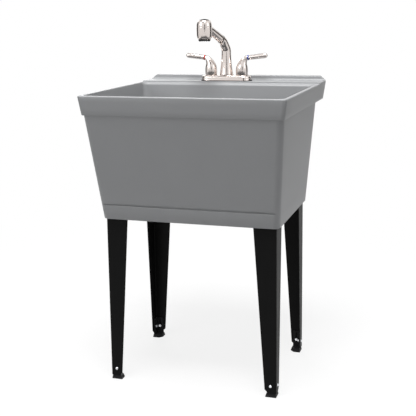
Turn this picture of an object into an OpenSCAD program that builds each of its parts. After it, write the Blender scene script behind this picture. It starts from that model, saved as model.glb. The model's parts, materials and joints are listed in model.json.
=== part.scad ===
// Freestanding laundry sink: a plastic tub on four angle legs, with a two-handle pull-out faucet.
// The origin is on the floor under the middle of the footprint. +X is the right side, +Y the back.

/* [Overall] */
// Width across the rim
overall_w = 581; // [540:1:660]
// Depth from the front lip to the back of the faucet ledge
overall_d = 597; // [580:1:660]
// Height from the floor to the top of the back curb
overall_h = 857.25; // [820:0.25:940]
// Height of the tub from its foot to the rim
tub_h = 355.6; // [330:0.1:420]

/* [Rim and ledge] */
// Height of the back curb above the rim
curb_h = 17; // [14:0.5:24]
// Width of the slanting cut at each end of the curb
curb_cut = 17; // [12:0.5:22]
// Height of the faucet ledge above the rim
ledge_rise = 3; // [2:0.25:5]
// Thickness of the back curb
curb_t = 20; // [14:0.5:24]
// Radius of the cove at the front foot of the curb
curb_cove = 6; // [3:0.5:8]
// Radius of the curb's top edges
curb_round = 3; // [1:0.5:5]
// Height of the lip band round the tub
lip_h = 54; // [40:1:70]
// How far the lip band draws in towards its foot
lip_draft = 7; // [3:0.5:8]
// Corner radius of the lip
lip_r = 12; // [8:1:16]
// Rounding of the rim's outer edge
rim_edge = 3; // [1:0.5:5]
// Width of the flat rim beside and in front of the basin
rim_w = 10; // [9:0.5:16]
// Depth from the basin's back wall to the back of the ledge
ledge_d = 117; // [112:0.5:124]
// Thickness of the faucet deck
deck_t = 6; // [4:0.5:8]
// Height of the bevel on top of the basin's back wall
bevel_h = 7; // [5:0.5:12]
// Depth of the same bevel
bevel_w = 9; // [7:0.5:14]

/* [Tub body] */
// Wall of the basin, the apron and the skirt
wall = 5; // [4:0.25:6]
// Corner radius of the body outside
body_r = 20; // [14:1:21]
// Inset of the body from the rim at each side, at the lip's foot
side_inset_top = 10.5; // [9:0.5:14]
// Inset of the body from the rim at each side, at the tub's foot
side_inset_foot = 34.5; // [28:0.5:42]
// Inset of the body from the rim in front, at the lip's foot
front_inset_top = 9; // [8:0.5:12]
// Inset of the body from the rim in front, at the tub's foot
front_inset_foot = 70; // [50:0.5:80]
// Inset of the body from the back of the ledge, at the lip's foot
back_inset_top = 111; // [106:0.5:116]
// Inset of the body from the back of the ledge, at the tub's foot
back_inset_foot = 141; // [130:0.5:150]
// Corner radius of the basin inside
basin_r = 24; // [18:1:34]
// Radius between the basin's floor and its walls
floor_r = 20; // [10:1:26]
// Height of the basin floor above the tub's foot
floor_rise = 52; // [48:0.5:60]
// Thickness of the basin floor
floor_t = 7; // [6:0.5:9]
// Height of the thin groove across the front, above the apron
groove_h = 4.5; // [3:0.5:6]
// Depth of that groove
groove_depth = 2; // [1:0.25:2.5]
// Height of the groove's lower edge above the tub's foot
groove_rise = 42; // [36:0.5:46]

/* [Legs] */
// Thickness of the leg's sheet steel
leg_t = 2; // [1.5:0.25:2.5]
// Width of each flange at the top of a leg
leg_w_top = 67.5; // [60:0.5:72]
// Width of each flange at the foot of a leg
leg_w_foot = 33; // [30:0.5:38]
// Outer radius of the bend between a leg's flanges
leg_bend_r = 4; // [3.5:0.25:6]
// Gap between the apron's inner face and a leg
leg_gap = 3.5; // [3.25:0.25:5]
// Height of the leg's lower end above the floor
leg_foot_z = 12; // [11:0.5:18]
// Size of the cut at the free lower corner of a flange
leg_cut = 10; // [4:0.5:12]
// Rib that closes a leg socket on the inside
socket_rib = 4; // [3:0.5:5]
// Height of the socket's mouth above the tub's foot
socket_rise = 6; // [4:0.5:10]

/* [Levelling feet] */
// How far a foot can be drawn out of its leg
foot_travel = 20; // [10:1:26]
// Thickness of the foot's angle
foot_t = 3; // [2:0.25:4]
// Width of the foot's flanges, from the leg's outer corner
foot_w = 28; // [26:0.5:30]
// Height of the foot's pad
pad_h = 9.5; // [7:0.5:10.5]
// How far the pad's underside reaches from the leg's outer corner
pad_w = 32; // [31:0.5:36]
// How far the pad flares between its top and its underside
pad_flare = 1.2; // [0.5:0.1:2]
// Diameter of the foot bolts
bolt_d = 5; // [4:0.5:6]
// Diameter of the bolt heads
bolt_head_d = 9; // [8:0.5:10]
// Height of the bolt heads
bolt_head_h = 3; // [2:0.25:4]
// Height of the foot bolts above the floor
bolt_z = 33; // [30:0.5:40]
// Distance of each foot bolt from the leg's outer corner
bolt_in = 17; // [15:0.5:19]
// Thickness of the bolt nuts
nut_h = 4; // [3:0.25:5]

/* [Drain] */
// Outside diameter of the waste tailpiece
tail_d = 38.1; // [30:0.1:40]
// Length of the tailpiece below the drain body
tail_l = 42; // [32:1:44]
// Outside diameter of the drain body's tube
drain_d = 45; // [42:0.5:50]
// Wall of the drain body's tube
drain_wall = 1.5; // [1:0.25:2]
// Diameter of the drain flange in the basin floor
drain_flange_d = 74; // [68:0.5:84]
// Thickness of the drain flange
drain_flange_t = 2; // [1.5:0.25:3]
// Thickness of the drain seals
seal_t = 1.5; // [1:0.25:2.5]
// Length of the drain body's tube below the flange
drain_l = 44; // [40:1:50]
// Radius of the shallow dish round the drain
dish_r = 150; // [110:1:160]
// Depth of that dish
dish_h = 5; // [3:0.5:8]
// Diameter of the strainer basket's cup
strainer_d = 37; // [34:0.5:38]
// Depth of the strainer basket's cup
strainer_l = 18; // [12:0.5:24]
// How far the strainer basket lifts out
strainer_lift = 60; // [30:1:90]

/* [Faucet base] */
// Distance of the faucet's middle from the tub's middle, to the right
faucet_x = -18; // [-24:1:0]
// Distance of the faucet's middle from the back of the ledge
faucet_setback = 67; // [64:0.5:68]
// Width of the base plate at its foot
plate_w = 162; // [156:0.5:168]
// Depth of the base plate at its foot
plate_d = 56; // [54:0.5:58]
// Corner radius of the base plate at its foot
plate_r = 26; // [16:0.5:27]
// Height of the base plate
plate_h = 16; // [12:0.5:18]
// How far the plate draws in towards its top
plate_flare = 6; // [3:0.5:7]
// Thickness of the gasket under the plate
gasket_t = 1.5; // [1:0.25:2.5]
// How far the gasket shows round the plate
gasket_edge = 2; // [1:0.25:2.5]
// Distance between the two valves
valve_pitch = 101.6; // [100:0.1:104]
// Outside diameter of the supply shanks
shank_d = 20.7; // [20:0.1:22]
// How far the shanks reach below the deck's top
shank_drop = 50; // [40:1:52]
// Diameter of the valve stems
stem_d = 10; // [8:0.5:11]
// Diameter of the valve bonnets inside the handle hubs
bonnet_d = 26; // [24:0.5:28]
// Height of the valve bonnets
bonnet_h = 24; // [20:0.5:26]
// Outside diameter of the centre shank
centre_d = 28; // [27:0.5:30]

/* [Spout and spray] */
// Height of the faucet from the deck to the top of the spray button
faucet_h = 195; // [188:0.5:215]
// Horizontal distance from the column's axis to the spray head's axis
spout_reach = 102; // [98:1:116]
// Rise of the wand's axis above the horizontal
spout_rise = 31; // [28:0.5:36]
// Turn of the spout from straight ahead towards the left, at rest
spout_turn = 25; // [0:1:40]
// Radius of the column at its foot
column_base_r = 22; // [19:0.5:23]
// Radius of the column at the bend
neck_r = 15; // [14.5:0.25:16]
// Radius of the bend, measured at the tube's middle
bend_r = 42; // [36:1:44]
// Distance along the wand's axis from the column's axis to the docking ring
dock_s = 28.5; // [28.5:0.5:32]
// Radius of the spout at the docking ring
dock_r = 13.3; // [12.5:0.1:13.5]
// Radius of the wand where it meets the spray head
wand_tip_r = 10.8; // [10:0.1:12]
// How far the wand is pulled out
wand_travel = 150; // [60:5:300]
// Thickness of the black docking ring
dock_ring_t = 2.2; // [1.5:0.1:3]
// Radius of the spray head at its seam
head_r = 24; // [23:0.1:26]
// Height of the dome above the seam
dome_h = 20.4; // [18:0.1:24]
// Height of the bell below the seam
bell_h = 37.6; // [32:0.1:44]
// Height of the rubber spray face below the bell
face_h = 4.6; // [3:0.1:6]
// Number of spray nubs in the outer ring
nub_count = 14; // [8:1:18]
// Radius of the spray button
button_r = 14.9; // [12:0.1:16]
// Travel of the spray button
button_travel = 2; // [1:0.1:2.2]

/* [Handles] */
// Radius of the handle's hub at its foot
hub_r = 19; // [17:0.1:20]
// Height of the lever's axis above the plate, where it leaves the hub
lever_z = 54.5; // [50:0.1:60]
// Length of the lever from the hub's bend to its tip
lever_l = 69; // [60:0.5:80]
// Rise of the lever towards its tip
lever_rise = 7; // [0:0.5:12]
// Radius of the lever
lever_r = 7.5; // [6.5:0.1:8.5]
// Width of the coloured ring on the lever
ring_w = 4.5; // [3:0.25:6]

/* [Fits] */
// Gap between parts that move past each other
gap = 0.3; // [0.25:0.05:0.4]
// Radial clearance of a turning or sliding fit
running = 0.05; // [0.02:0.01:0.08]
// Clearance round parts that are fixed together
seat = 0.15; // [0.1:0.05:0.25]

/* [Hidden] */
$fn = 64;

tub_colour = [0.49, 0.50, 0.51];
steel_black = [0.06, 0.06, 0.065];
foot_black = [0.10, 0.10, 0.105];
zinc = [0.80, 0.81, 0.83];
nickel = [0.72, 0.69, 0.65];
brass = [0.72, 0.60, 0.32];
rubber_black = [0.05, 0.05, 0.05];
white_plastic = [0.88, 0.88, 0.86];
stainless = [0.70, 0.71, 0.72];

// Heights
rim_z = overall_h - curb_h;
deck_z = rim_z + ledge_rise;
deck_foot_z = deck_z - deck_t;
tub_foot_z = rim_z - tub_h;
lip_z = rim_z - lip_h;
floor_z = tub_foot_z + floor_rise;
under_z = floor_z - floor_t;
leg_top_z = under_z;
front = -overall_d / 2;
back = overall_d / 2;
thin = 0.02;

// A value at height z on a straight line from the tub's foot to the lip's foot
function taper(z, foot, top) = foot + (top - foot) * (z - tub_foot_z) / (lip_z - tub_foot_z);
function body_x(z) = overall_w / 2 - taper(z, side_inset_foot, side_inset_top);
function body_front(z) = front + taper(z, front_inset_foot, front_inset_top);
function body_back(z) = back - taper(z, back_inset_foot, back_inset_top);

// A value at height z on a straight line from the basin floor to the rim
function basin_mix(z, low, high) = low + (high - low) * (z - floor_z) / (rim_z - floor_z);
function basin_x(z) = basin_mix(z, body_x(floor_z) - wall, overall_w / 2 - rim_w);
function basin_front(z) = basin_mix(z, body_front(floor_z) + wall, front + rim_w);
function basin_back(z) = basin_mix(z, body_back(floor_z) - wall, back - ledge_d);

// A rectangle from -x to x and from y0 to y1 with round corners
module rounded(x, y0, y1, r) {
    for (sx = [-1, 1], y = [y0 + r, y1 - r]) translate([sx * (x - r), y]) circle(r);
    translate([-x, y0 + r]) square([2 * x, y1 - y0 - 2 * r]);
    translate([r - x, y0]) square([2 * (x - r), y1 - y0]);
}

// The same outline as a thin slab at height z, for the hulls of the tapered shapes
module slab(x, y0, y1, r, z) {
    translate([0, 0, z]) linear_extrude(thin) rounded(x, y0, y1, r, $fn = 32);
}
module body_slab(z, inset = 0) {
    slab(body_x(z) - inset, body_front(z) + inset, body_back(z) - inset, body_r - inset, z);
}
module basin_slab(z, inset = 0) {
    slab(basin_x(z) - inset, basin_front(z) + inset, basin_back(z) - inset, basin_r - inset / 2, z);
}
// The back half of the same outline, drawn in a little at the sides and moved back along the bevel's slope
bevel_inset = 0.5;
module bevel_slab(rise) {
    z = rim_z - bevel_h + rise;
    slab(basin_x(z) - bevel_inset, drain_y, basin_back(z) + bevel_w * rise / bevel_h, basin_r - bevel_inset, z);
}

module tube(z0, z1, r_out, r_in) {
    translate([0, 0, z0]) difference() {
        cylinder(h = z1 - z0, r = r_out);
        translate([0, 0, -1]) cylinder(h = z1 - z0 + 2, r = r_in);
    }
}

// Tub
leg_x = body_x(tub_foot_z) - wall - leg_gap;
leg_front_y = body_front(tub_foot_z) + wall + leg_gap;
leg_back_y = body_back(tub_foot_z) - wall - leg_gap;
drain_y = (basin_front(floor_z) + basin_back(floor_z)) / 2;
drain_floor_z = floor_z - dish_h;
seat_depth = drain_flange_t + seal_t;
drain_pad_z = under_z - dish_h - seat_depth;
faucet_y = back - faucet_setback;
deck_hole_r = shank_d / 2 + 3.5;
centre_hole_r = centre_d / 2 + 3;

// Moves to a leg's outer corner, with the local +X and +Y pointing inwards
module at_corner(side, end) {
    translate([side * leg_x, end < 0 ? leg_front_y : leg_back_y, 0])
        mirror([side > 0 ? 1 : 0, 0, 0]) mirror([0, end > 0 ? 1 : 0, 0]) children();
}
module each_corner() {
    for (side = [-1, 1], end = [-1, 1]) at_corner(side, end) children();
}
// The outline of an angle section whose outer corner is at -lead
module angle(lead, reach, t) {
    translate([-lead, -lead]) square([reach + lead, t + lead]);
    translate([-lead, -lead]) square([t + lead, reach + lead]);
}

socket_slot_t = leg_t + seat;
bend_relief = 0.75 * (leg_bend_r - leg_t);
screw_x = leg_w_top * 0.6;
screw_rise = 18;
screw_z = tub_foot_z + socket_rise + screw_rise;
screw_r = 2.1;

module lip_solid(top) {
    hull() {
        slab(overall_w / 2 - lip_draft, front + lip_draft, back - lip_draft, lip_r, lip_z);
        slab(overall_w / 2, front, back, lip_r, top - rim_edge);
        slab(overall_w / 2 - 0.3 * rim_edge, front + 0.3 * rim_edge, back - 0.3 * rim_edge, lip_r,
             top - 0.3 * rim_edge);
        slab(overall_w / 2 - rim_edge, front + rim_edge, back - rim_edge, lip_r, top - thin);
    }
}
module curb_profile() {
    face = back - curb_t;
    polygon(concat(
        [[back, deck_z - rim_edge - 1], [face - curb_cove, deck_z - rim_edge - 1]],
        [for (a = [0:15:90]) [face - curb_cove + curb_cove * sin(a), deck_z + curb_cove * (1 - cos(a))]],
        [for (a = [0:15:90]) [face + curb_round * (1 - cos(a)), overall_h - curb_round * (1 - sin(a))]],
        [for (a = [90:-15:0]) [back - curb_round * (1 - cos(a)), overall_h - curb_round * (1 - sin(a))]]));
}
module curb_solid() {
    intersection() {
        rotate([90, 0, 90]) linear_extrude(overall_w, center = true) curb_profile();
        translate([0, back, 0]) rotate([90, 0, 0]) linear_extrude(curb_t + curb_cove + 1)
            polygon([[-overall_w / 2, deck_z - rim_edge - 2], [-overall_w / 2, deck_z],
                     [curb_cut - overall_w / 2, overall_h], [overall_w / 2 - curb_cut, overall_h],
                     [overall_w / 2, deck_z], [overall_w / 2, deck_z - rim_edge - 2]]);
        translate([0, 0, deck_z - rim_edge - 3]) linear_extrude(curb_h + rim_edge + 6)
            rounded(overall_w / 2, front, back, lip_r);
    }
}
module basin_cavity() {
    hull() {
        basin_slab(floor_z, floor_r);
        basin_slab(floor_z + 0.293 * floor_r, 0.293 * floor_r);
        basin_slab(floor_z + floor_r);
        basin_slab(rim_z + 1);
    }
    hull() {
        bevel_slab(-1);
        bevel_slab(bevel_h + 1);
    }
}
module ledge_hollow() {
    x = overall_w / 2 - lip_draft - wall;
    y = back - lip_draft - wall;
    translate([0, 0, lip_z - 1]) {
        linear_extrude(deck_foot_z - lip_z + 1) {
            rounded(x, deck_front_y, y, lip_r - wall);
            translate([-x, deck_front_y]) square([2 * x, lip_r]);
        }
        linear_extrude(rim_z - bevel_h - wall - lip_z)
            rounded(x, back - back_inset_top + 1, y, lip_r - wall);
    }
}
// A straight groove across the front face, which runs out in the rounded corners
module groove() {
    z = tub_foot_z + groove_rise;
    reach = body_x(z) - body_r / 2;
    translate([-reach, body_front(z) - wall, z]) cube([2 * reach, wall + groove_depth, groove_h]);
}
module socket_blocks() {
    reach = leg_w_top + socket_rib;
    each_corner() translate([0, 0, tub_foot_z + socket_rise])
        linear_extrude(under_z - tub_foot_z - socket_rise + 1)
            angle(wall + leg_gap - 0.5, reach, socket_slot_t + socket_rib);
}
// The slot of a leg, with its inner corner cut off so that the leg's bend has room
module leg_slots() {
    t = socket_slot_t;
    each_corner() {
        translate([0, 0, tub_foot_z - 1]) linear_extrude(leg_top_z - tub_foot_z + 1) {
            angle(seat, leg_w_top + seat, t);
            polygon([[1, 1], [t + bend_relief, 1], [t + bend_relief, t], [t, t + bend_relief],
                     [1, t + bend_relief]]);
        }
        translate([screw_x, socket_slot_t + socket_rib + 1, screw_z]) rotate([90, 0, 0])
            cylinder(h = socket_slot_t + socket_rib + 4, r = screw_r + seat);
    }
}
module drain_boss() {
    translate([0, drain_y, under_z - dish_h])
        cylinder(h = dish_h + 1, r1 = drain_flange_d / 2 + 12, r2 = dish_r + 8);
    translate([0, drain_y, drain_pad_z])
        cylinder(h = seat_depth + dish_h, r = drain_flange_d / 2 + 8);
}
module drain_cut() {
    translate([0, drain_y, drain_floor_z]) {
        cylinder(h = dish_h + 0.5, r1 = drain_flange_d / 2 + 3, r2 = dish_r);
        translate([0, 0, -seat_depth]) cylinder(h = seat_depth + 1, r = drain_flange_d / 2 + seat);
        translate([0, 0, -drain_l]) cylinder(h = drain_l + 1, r = drain_d / 2 + 1);
    }
}
module faucet_holes() {
    both_valves() translate([0, 0, deck_foot_z - 1]) cylinder(h = deck_t + 2, r = deck_hole_r);
    at_faucet(0, deck_foot_z - 1) cylinder(h = deck_t + 2, r = centre_hole_r);
}

// The tub is one moulding. It is drawn as simple panels that meet face to face: the walls above the
// rounded foot of the basin, the aprons below it, the floor, the leg sockets and the faucet ledge.
deck_front_y = back - ledge_d + bevel_w + wall;
step_in = 1.5;
step_y = deck_front_y - wall + step_in;
cove_top_z = floor_z + floor_r;
mitre_shift = 2.2;

module level(low, high, from_y = -overall_d) {
    translate([-overall_w, from_y, low]) cube([2 * overall_w, overall_d - from_y, high - low]);
}
module apron_space() {
    hull() {
        body_slab(tub_foot_z - 1, wall);
        body_slab(under_z - thin, wall);
    }
}
module floor_slab() {
    z = under_z - thin;
    translate([0, 0, under_z]) linear_extrude(floor_t)
        rounded(body_x(z) - wall, body_front(z) + wall, body_back(z) - wall, body_r - wall, $fn = 32);
}
// Half the width, at depth y and height z, between the 45 degree planes at the body's two front or rear
// corners, which the shift keeps clear of the corner arcs' middle points
function mitre_x(end, y, z) =
    body_x(z) + mitre_shift + end * (y - (end < 0 ? body_front(z) : body_back(z)));
module end_space(end) {
    inner = drain_y + end * 90;
    ys = end < 0 ? [front - 1, inner] : [inner, deck_front_y];
    polyhedron([for (z = [tub_foot_z - 1, deck_z + 1], y = ys, side = [-1, 1])
                    [side * mitre_x(end, y, z), y, z]],
               [[0, 1, 3, 2], [4, 6, 7, 5], [0, 4, 5, 1], [2, 3, 7, 6], [0, 2, 6, 4], [1, 5, 7, 3]]);
}
module tub_shell(low, high) {
    difference() {
        intersection() {
            union() {
                hull() {
                    body_slab(tub_foot_z);
                    body_slab(lip_z + 1);
                }
                lip_solid(rim_z);
                intersection() {
                    lip_solid(deck_z);
                    level(lip_z, deck_z, step_y);
                }
            }
            level(low, high);
        }
        level(low - 1, high + 1, deck_front_y);
        apron_space();
        floor_slab();
        ledge_hollow();
        groove();
        basin_cavity();
    }
}
module end_panels(low, high) {
    color(tub_colour) intersection() {
        tub_shell(low, high);
        union() {
            end_space(-1);
            end_space(1);
        }
    }
}
module side_panels(low, high) {
    color(tub_colour) difference() {
        tub_shell(low, high);
        end_space(-1);
        end_space(1);
    }
}
module tub_end_walls() { end_panels(cove_top_z, deck_z); }
module tub_side_walls() { side_panels(cove_top_z, deck_z); }
module tub_end_aprons() { end_panels(tub_foot_z, cove_top_z); }
module tub_side_aprons() { side_panels(tub_foot_z, cove_top_z); }
module tub_floor() {
    color(tub_colour) difference() {
        union() {
            floor_slab();
            drain_boss();
        }
        level(floor_z, floor_z + dish_h);
        drain_cut();
    }
}
module leg_sockets() {
    color(tub_colour) difference() {
        intersection() {
            socket_blocks();
            apron_space();
        }
        leg_slots();
    }
}
module ledge_deck() {
    color(tub_colour) difference() {
        intersection() {
            union() {
                lip_solid(deck_z);
                curb_solid();
            }
            level(deck_foot_z, deck_z, deck_front_y);
        }
        faucet_holes();
    }
}
module ledge_skirt() {
    difference() {
        intersection() {
            lip_solid(deck_z);
            level(lip_z, deck_foot_z, deck_front_y);
        }
        ledge_hollow();
    }
}
// The back part of the skirt, between two planes at 45 degrees through the hollow's corners
module ledge_back_space() {
    x = overall_w / 2 - lip_draft - wall;
    y = back - lip_draft - wall;
    translate([0, 0, lip_z - 1]) linear_extrude(lip_h)
        polygon([[lip_r - x, y - lip_r], [x - lip_r, y - lip_r], [x + 2 * lip_r, y + 2 * lip_r],
                 [-x - 2 * lip_r, y + 2 * lip_r]]);
}
module ledge_back() {
    color(tub_colour) intersection() {
        ledge_skirt();
        ledge_back_space();
    }
}
module ledge_ends() {
    color(tub_colour) difference() {
        ledge_skirt();
        ledge_back_space();
    }
}
module back_curb() {
    color(tub_colour) intersection() {
        curb_solid();
        level(deck_z, overall_h + 1);
    }
}

// Legs
leg_slope = (leg_w_top - leg_w_foot) / (leg_top_z - leg_foot_z);
module leg_flange() {
    translate([0, leg_t, 0]) rotate([90, 0, 0]) linear_extrude(leg_t)
        polygon([[leg_bend_r, leg_foot_z], [leg_w_foot - leg_cut, leg_foot_z],
                 [leg_w_foot + leg_slope * leg_cut, leg_foot_z + leg_cut],
                 [leg_w_top, leg_top_z], [leg_bend_r, leg_top_z]]);
}
// A square corner of the given size with its outer corner rounded
module round_corner(size, r) {
    translate([r, r]) circle(r);
    translate([r, 0]) square([size - r, size]);
    translate([0, r]) square([size, size - r]);
}
module leg_bend() {
    size = 2 * leg_bend_r;
    translate([0, 0, leg_foot_z]) linear_extrude(leg_top_z - leg_foot_z) difference() {
        round_corner(size, leg_bend_r);
        translate([leg_t, leg_t]) round_corner(size, leg_bend_r - leg_t);
    }
}
module bolt_axis() {
    translate([bolt_in, 0, bolt_z]) rotate([90, 0, 0]) children();
    mirror([1, -1, 0]) translate([bolt_in, 0, bolt_z]) rotate([90, 0, 0]) children();
}
module leg(side, end) {
    color(steel_black) at_corner(side, end) difference() {
        union() {
            leg_bend();
            leg_flange();
            mirror([1, -1, 0]) leg_flange();
        }
        bolt_axis() translate([0, 0, -leg_t - 1]) cylinder(h = leg_t + 2, r = bolt_d / 2 + seat);
        translate([screw_x, leg_t + 1, screw_z]) rotate([90, 0, 0])
            cylinder(h = leg_t + 2, r = screw_r + seat);
    }
}

// Levelling feet: an angle that slides inside the leg's end, on a flared pad
foot_face = leg_t + gap;
foot_top_z = bolt_z + foot_travel + bolt_d / 2 + 5;
module foot_slot() {
    r = bolt_d / 2 + gap;
    bolt_axis() translate([0, 0, -foot_face - foot_t - 1]) {
        cylinder(h = foot_t + 2, r = r);
        translate([0, foot_travel, 0]) cylinder(h = foot_t + 2, r = r);
        translate([-r, 0, 0]) cube([2 * r, foot_travel, foot_t + 2]);
    }
}
module pad_outline(low, high) {
    cut = (high - low) * 0.35;
    polygon([[low, low], [high, low], [high, high - cut], [high - cut, high], [low, high]]);
}
module foot(side, end) {
    color(foot_black) at_corner(side, end) {
        difference() {
            translate([foot_face, foot_face, pad_h - 1]) linear_extrude(foot_top_z - pad_h + 1)
                intersection() {
                    angle(0, foot_w - foot_face, foot_t);
                    round_corner(foot_w, leg_bend_r - foot_face);
                }
            foot_slot();
        }
        hull() {
            linear_extrude(2.5) pad_outline(foot_face - pad_flare, pad_w);
            translate([0, 0, pad_h - 1]) linear_extrude(1) pad_outline(foot_face, pad_w - 2 * pad_flare);
        }
    }
}

nut_face = foot_face + foot_t + gap;
module foot_bolts() {
    color(zinc) each_corner() bolt_axis() {
        rotate_extrude() polygon([[0, -leg_t], [0, bolt_head_h], [bolt_head_d * 0.25, bolt_head_h * 0.93],
            [bolt_head_d * 0.42, bolt_head_h * 0.6], [bolt_head_d / 2, 0],
            [bolt_d / 2, 0], [bolt_d / 2, -leg_t]]);
        translate([0, 0, -nut_face - nut_h - 1.5]) cylinder(h = nut_face + nut_h + 1.5, r = bolt_d / 2);
    }
}
module foot_nuts() {
    color(zinc) each_corner() bolt_axis() translate([0, 0, -nut_face - nut_h]) difference() {
        cylinder(h = nut_h, r = bolt_d * 0.92, $fn = 6);
        translate([0, 0, -1]) cylinder(h = nut_h + 2, r = bolt_d / 2 + running);
    }
}
module leg_screws() {
    color(zinc) each_corner() translate([screw_x, socket_slot_t + socket_rib, screw_z]) rotate([90, 0, 0]) {
        translate([0, 0, -2.6]) cylinder(h = 2.6, r1 = 2.6, r2 = 4.2);
        translate([0, 0, -0.5]) cylinder(h = socket_slot_t + socket_rib + 3, r = screw_r);
    }
}

// Drain
tube_in_r = drain_d / 2 - drain_wall;
drain_foot_z = drain_floor_z - drain_l;
module at_drain(z = 0) {
    translate([0, drain_y, z]) children();
}
module drain_flange() {
    color(stainless) at_drain() {
        difference() {
            union() {
                translate([0, 0, drain_floor_z - drain_flange_t])
                    cylinder(h = drain_flange_t, r = drain_flange_d / 2);
                translate([0, 0, drain_foot_z]) cylinder(h = drain_l, r = drain_d / 2);
            }
            translate([0, 0, drain_foot_z - 1]) cylinder(h = drain_l + 2, r = tube_in_r);
            translate([0, 0, drain_floor_z - 0.8])
                cylinder(h = 2, r1 = drain_d / 2 - 0.4, r2 = drain_d / 2 + 2.5);
        }
        for (a = [0, 90]) rotate(a) translate([-tube_in_r - 0.5, -1.2, drain_foot_z + 6])
            cube([2 * tube_in_r + 1, 2.4, 3]);
    }
}
module drain_upper_seal() {
    color(rubber_black) at_drain() tube(drain_floor_z - seat_depth, drain_floor_z - drain_flange_t,
                                        drain_flange_d / 2 - 1, drain_d / 2 + 0.5);
}
lower_seal_t = 2 * seal_t;
locknut_h = 9;
module drain_lower_seal() {
    color(rubber_black) at_drain()
        tube(drain_pad_z - lower_seal_t, drain_pad_z, drain_d / 2 + 8, drain_d / 2 + seat);
}
module drain_locknut() {
    color(white_plastic) at_drain() {
        top = drain_pad_z - lower_seal_t;
        difference() {
            union() {
                translate([0, 0, top - locknut_h]) cylinder(h = locknut_h, r = drain_d / 2 + 7);
                for (a = [0:60:300]) rotate(a) translate([drain_d / 2 + 5, -3, top - locknut_h])
                    cube([5, 6, locknut_h]);
            }
            translate([0, 0, top - locknut_h - 1]) cylinder(h = locknut_h + 2, r = drain_d / 2 + running);
        }
    }
}
washer_t = 2;
tail_top_z = drain_foot_z - washer_t;
tail_in_r = tail_d / 2 - 1.5;
nut_lip = 3;
nut_foot_z = tail_top_z - 2 - nut_lip;
waste_top_z = nut_foot_z - 1;
module tailpiece_washer() {
    color(rubber_black) at_drain() tube(tail_top_z, drain_foot_z, drain_d / 2 - 0.3, tail_in_r + 1);
}
module tailpiece() {
    color(white_plastic) at_drain() {
        tube(tail_top_z - tail_l, waste_top_z, tail_d / 2, tail_in_r);
        tube(waste_top_z, tail_top_z, tail_d / 2 - 0.4, tail_in_r);
        tube(tail_top_z - 2, tail_top_z, drain_d / 2 - 0.3, tail_in_r);
    }
}
module tailpiece_nut() {
    low = nut_foot_z;
    high = drain_foot_z + 10;
    color(white_plastic) at_drain() difference() {
        union() {
            translate([0, 0, low]) cylinder(h = high - low, r = drain_d / 2 + 4);
            for (a = [0:30:330]) rotate(a) translate([drain_d / 2 + 3, -1.5, low]) cube([2.5, 3, high - low]);
        }
        translate([0, 0, low + nut_lip]) cylinder(h = high - low, r = drain_d / 2 + running);
        translate([0, 0, low - 1]) cylinder(h = nut_lip + 2, r = tail_d / 2 + seat);
    }
}
strainer_rim_z = drain_floor_z + gap;
strainer_foot_z = strainer_rim_z - strainer_l;
module strainer_basket() {
    color(stainless) at_drain() difference() {
        union() {
            translate([0, 0, strainer_rim_z]) cylinder(h = 1.2, r = drain_d / 2 + 4);
            translate([0, 0, strainer_foot_z]) cylinder(h = strainer_l + 0.5, r = strainer_d / 2);
        }
        translate([0, 0, strainer_foot_z + 1.2]) cylinder(h = strainer_l + 2, r = strainer_d / 2 - 1.2);
        for (a = [0:30:330]) rotate(a) translate([strainer_d / 2 - 5.5, 0, strainer_foot_z - 1])
            cylinder(h = 4, r = 2);
        for (a = [15:60:315]) rotate(a) translate([strainer_d / 4, 0, strainer_foot_z - 1])
            cylinder(h = 4, r = 1.8);
        translate([0, 0, strainer_foot_z - 1]) cylinder(h = 4, r = 2.5 + running);
    }
}
module strainer_knob() {
    color(stainless) at_drain(strainer_foot_z) rotate_extrude() polygon([
        [0, -1], [4.5, -1], [4.5, 0], [2.5, 0], [2.5, 1.3], [3.2, 1.3], [3.2, strainer_l - 4],
        [5, strainer_l - 3], [7, strainer_l - 1], [7, strainer_l + 1], [5, strainer_l + 3],
        [0, strainer_l + 3.6]]);
}

// Faucet base
plate_z = deck_z + gasket_t;
plate_top_z = plate_z + plate_h;
shank_foot_z = deck_z - shank_drop;
shank_r = shank_d / 2;
supply_l = 32;
thread_relief = 0.4;
deck_washer_t = 2;
stem_r = stem_d / 2;
stem_depth = 16;
stem_top_z = plate_top_z + bonnet_h + 12;
bonnet_r = bonnet_d / 2;
module at_faucet(x = 0, z = 0) {
    translate([faucet_x + x, faucet_y, z]) children();
}
module both_valves() {
    for (side = [-1, 1]) at_faucet(side * valve_pitch / 2) children();
}
module faucet_gasket() {
    color(rubber_black) difference() {
        at_faucet(0, deck_z) linear_extrude(gasket_t)
            rounded(plate_w / 2 + gasket_edge, -plate_d / 2 - gasket_edge, plate_d / 2 + gasket_edge,
                    plate_r + gasket_edge);
        both_valves() translate([0, 0, deck_z - 1]) cylinder(h = gasket_t + 2, r = deck_hole_r);
        at_faucet(0, deck_z - 1) cylinder(h = gasket_t + 2, r = centre_hole_r);
    }
}
module plate_slab(inset, z) {
    slab(plate_w / 2 - inset, inset - plate_d / 2, plate_d / 2 - inset, plate_r - inset, z);
}
module faucet_plate() {
    color(nickel) difference() {
        at_faucet() hull() {
            plate_slab(0, plate_z);
            plate_slab(0.25 * plate_flare, plate_z + 0.45 * plate_h);
            plate_slab(0.7 * plate_flare, plate_z + 0.9 * plate_h);
            plate_slab(plate_flare, plate_top_z - thin);
        }
        both_valves() translate([0, 0, plate_z - 1]) cylinder(h = plate_h + 2, r = shank_r + seat);
        at_faucet(0, plate_z - 1) cylinder(h = plate_h + 2, r = centre_d / 2 + seat);
    }
}
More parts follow.
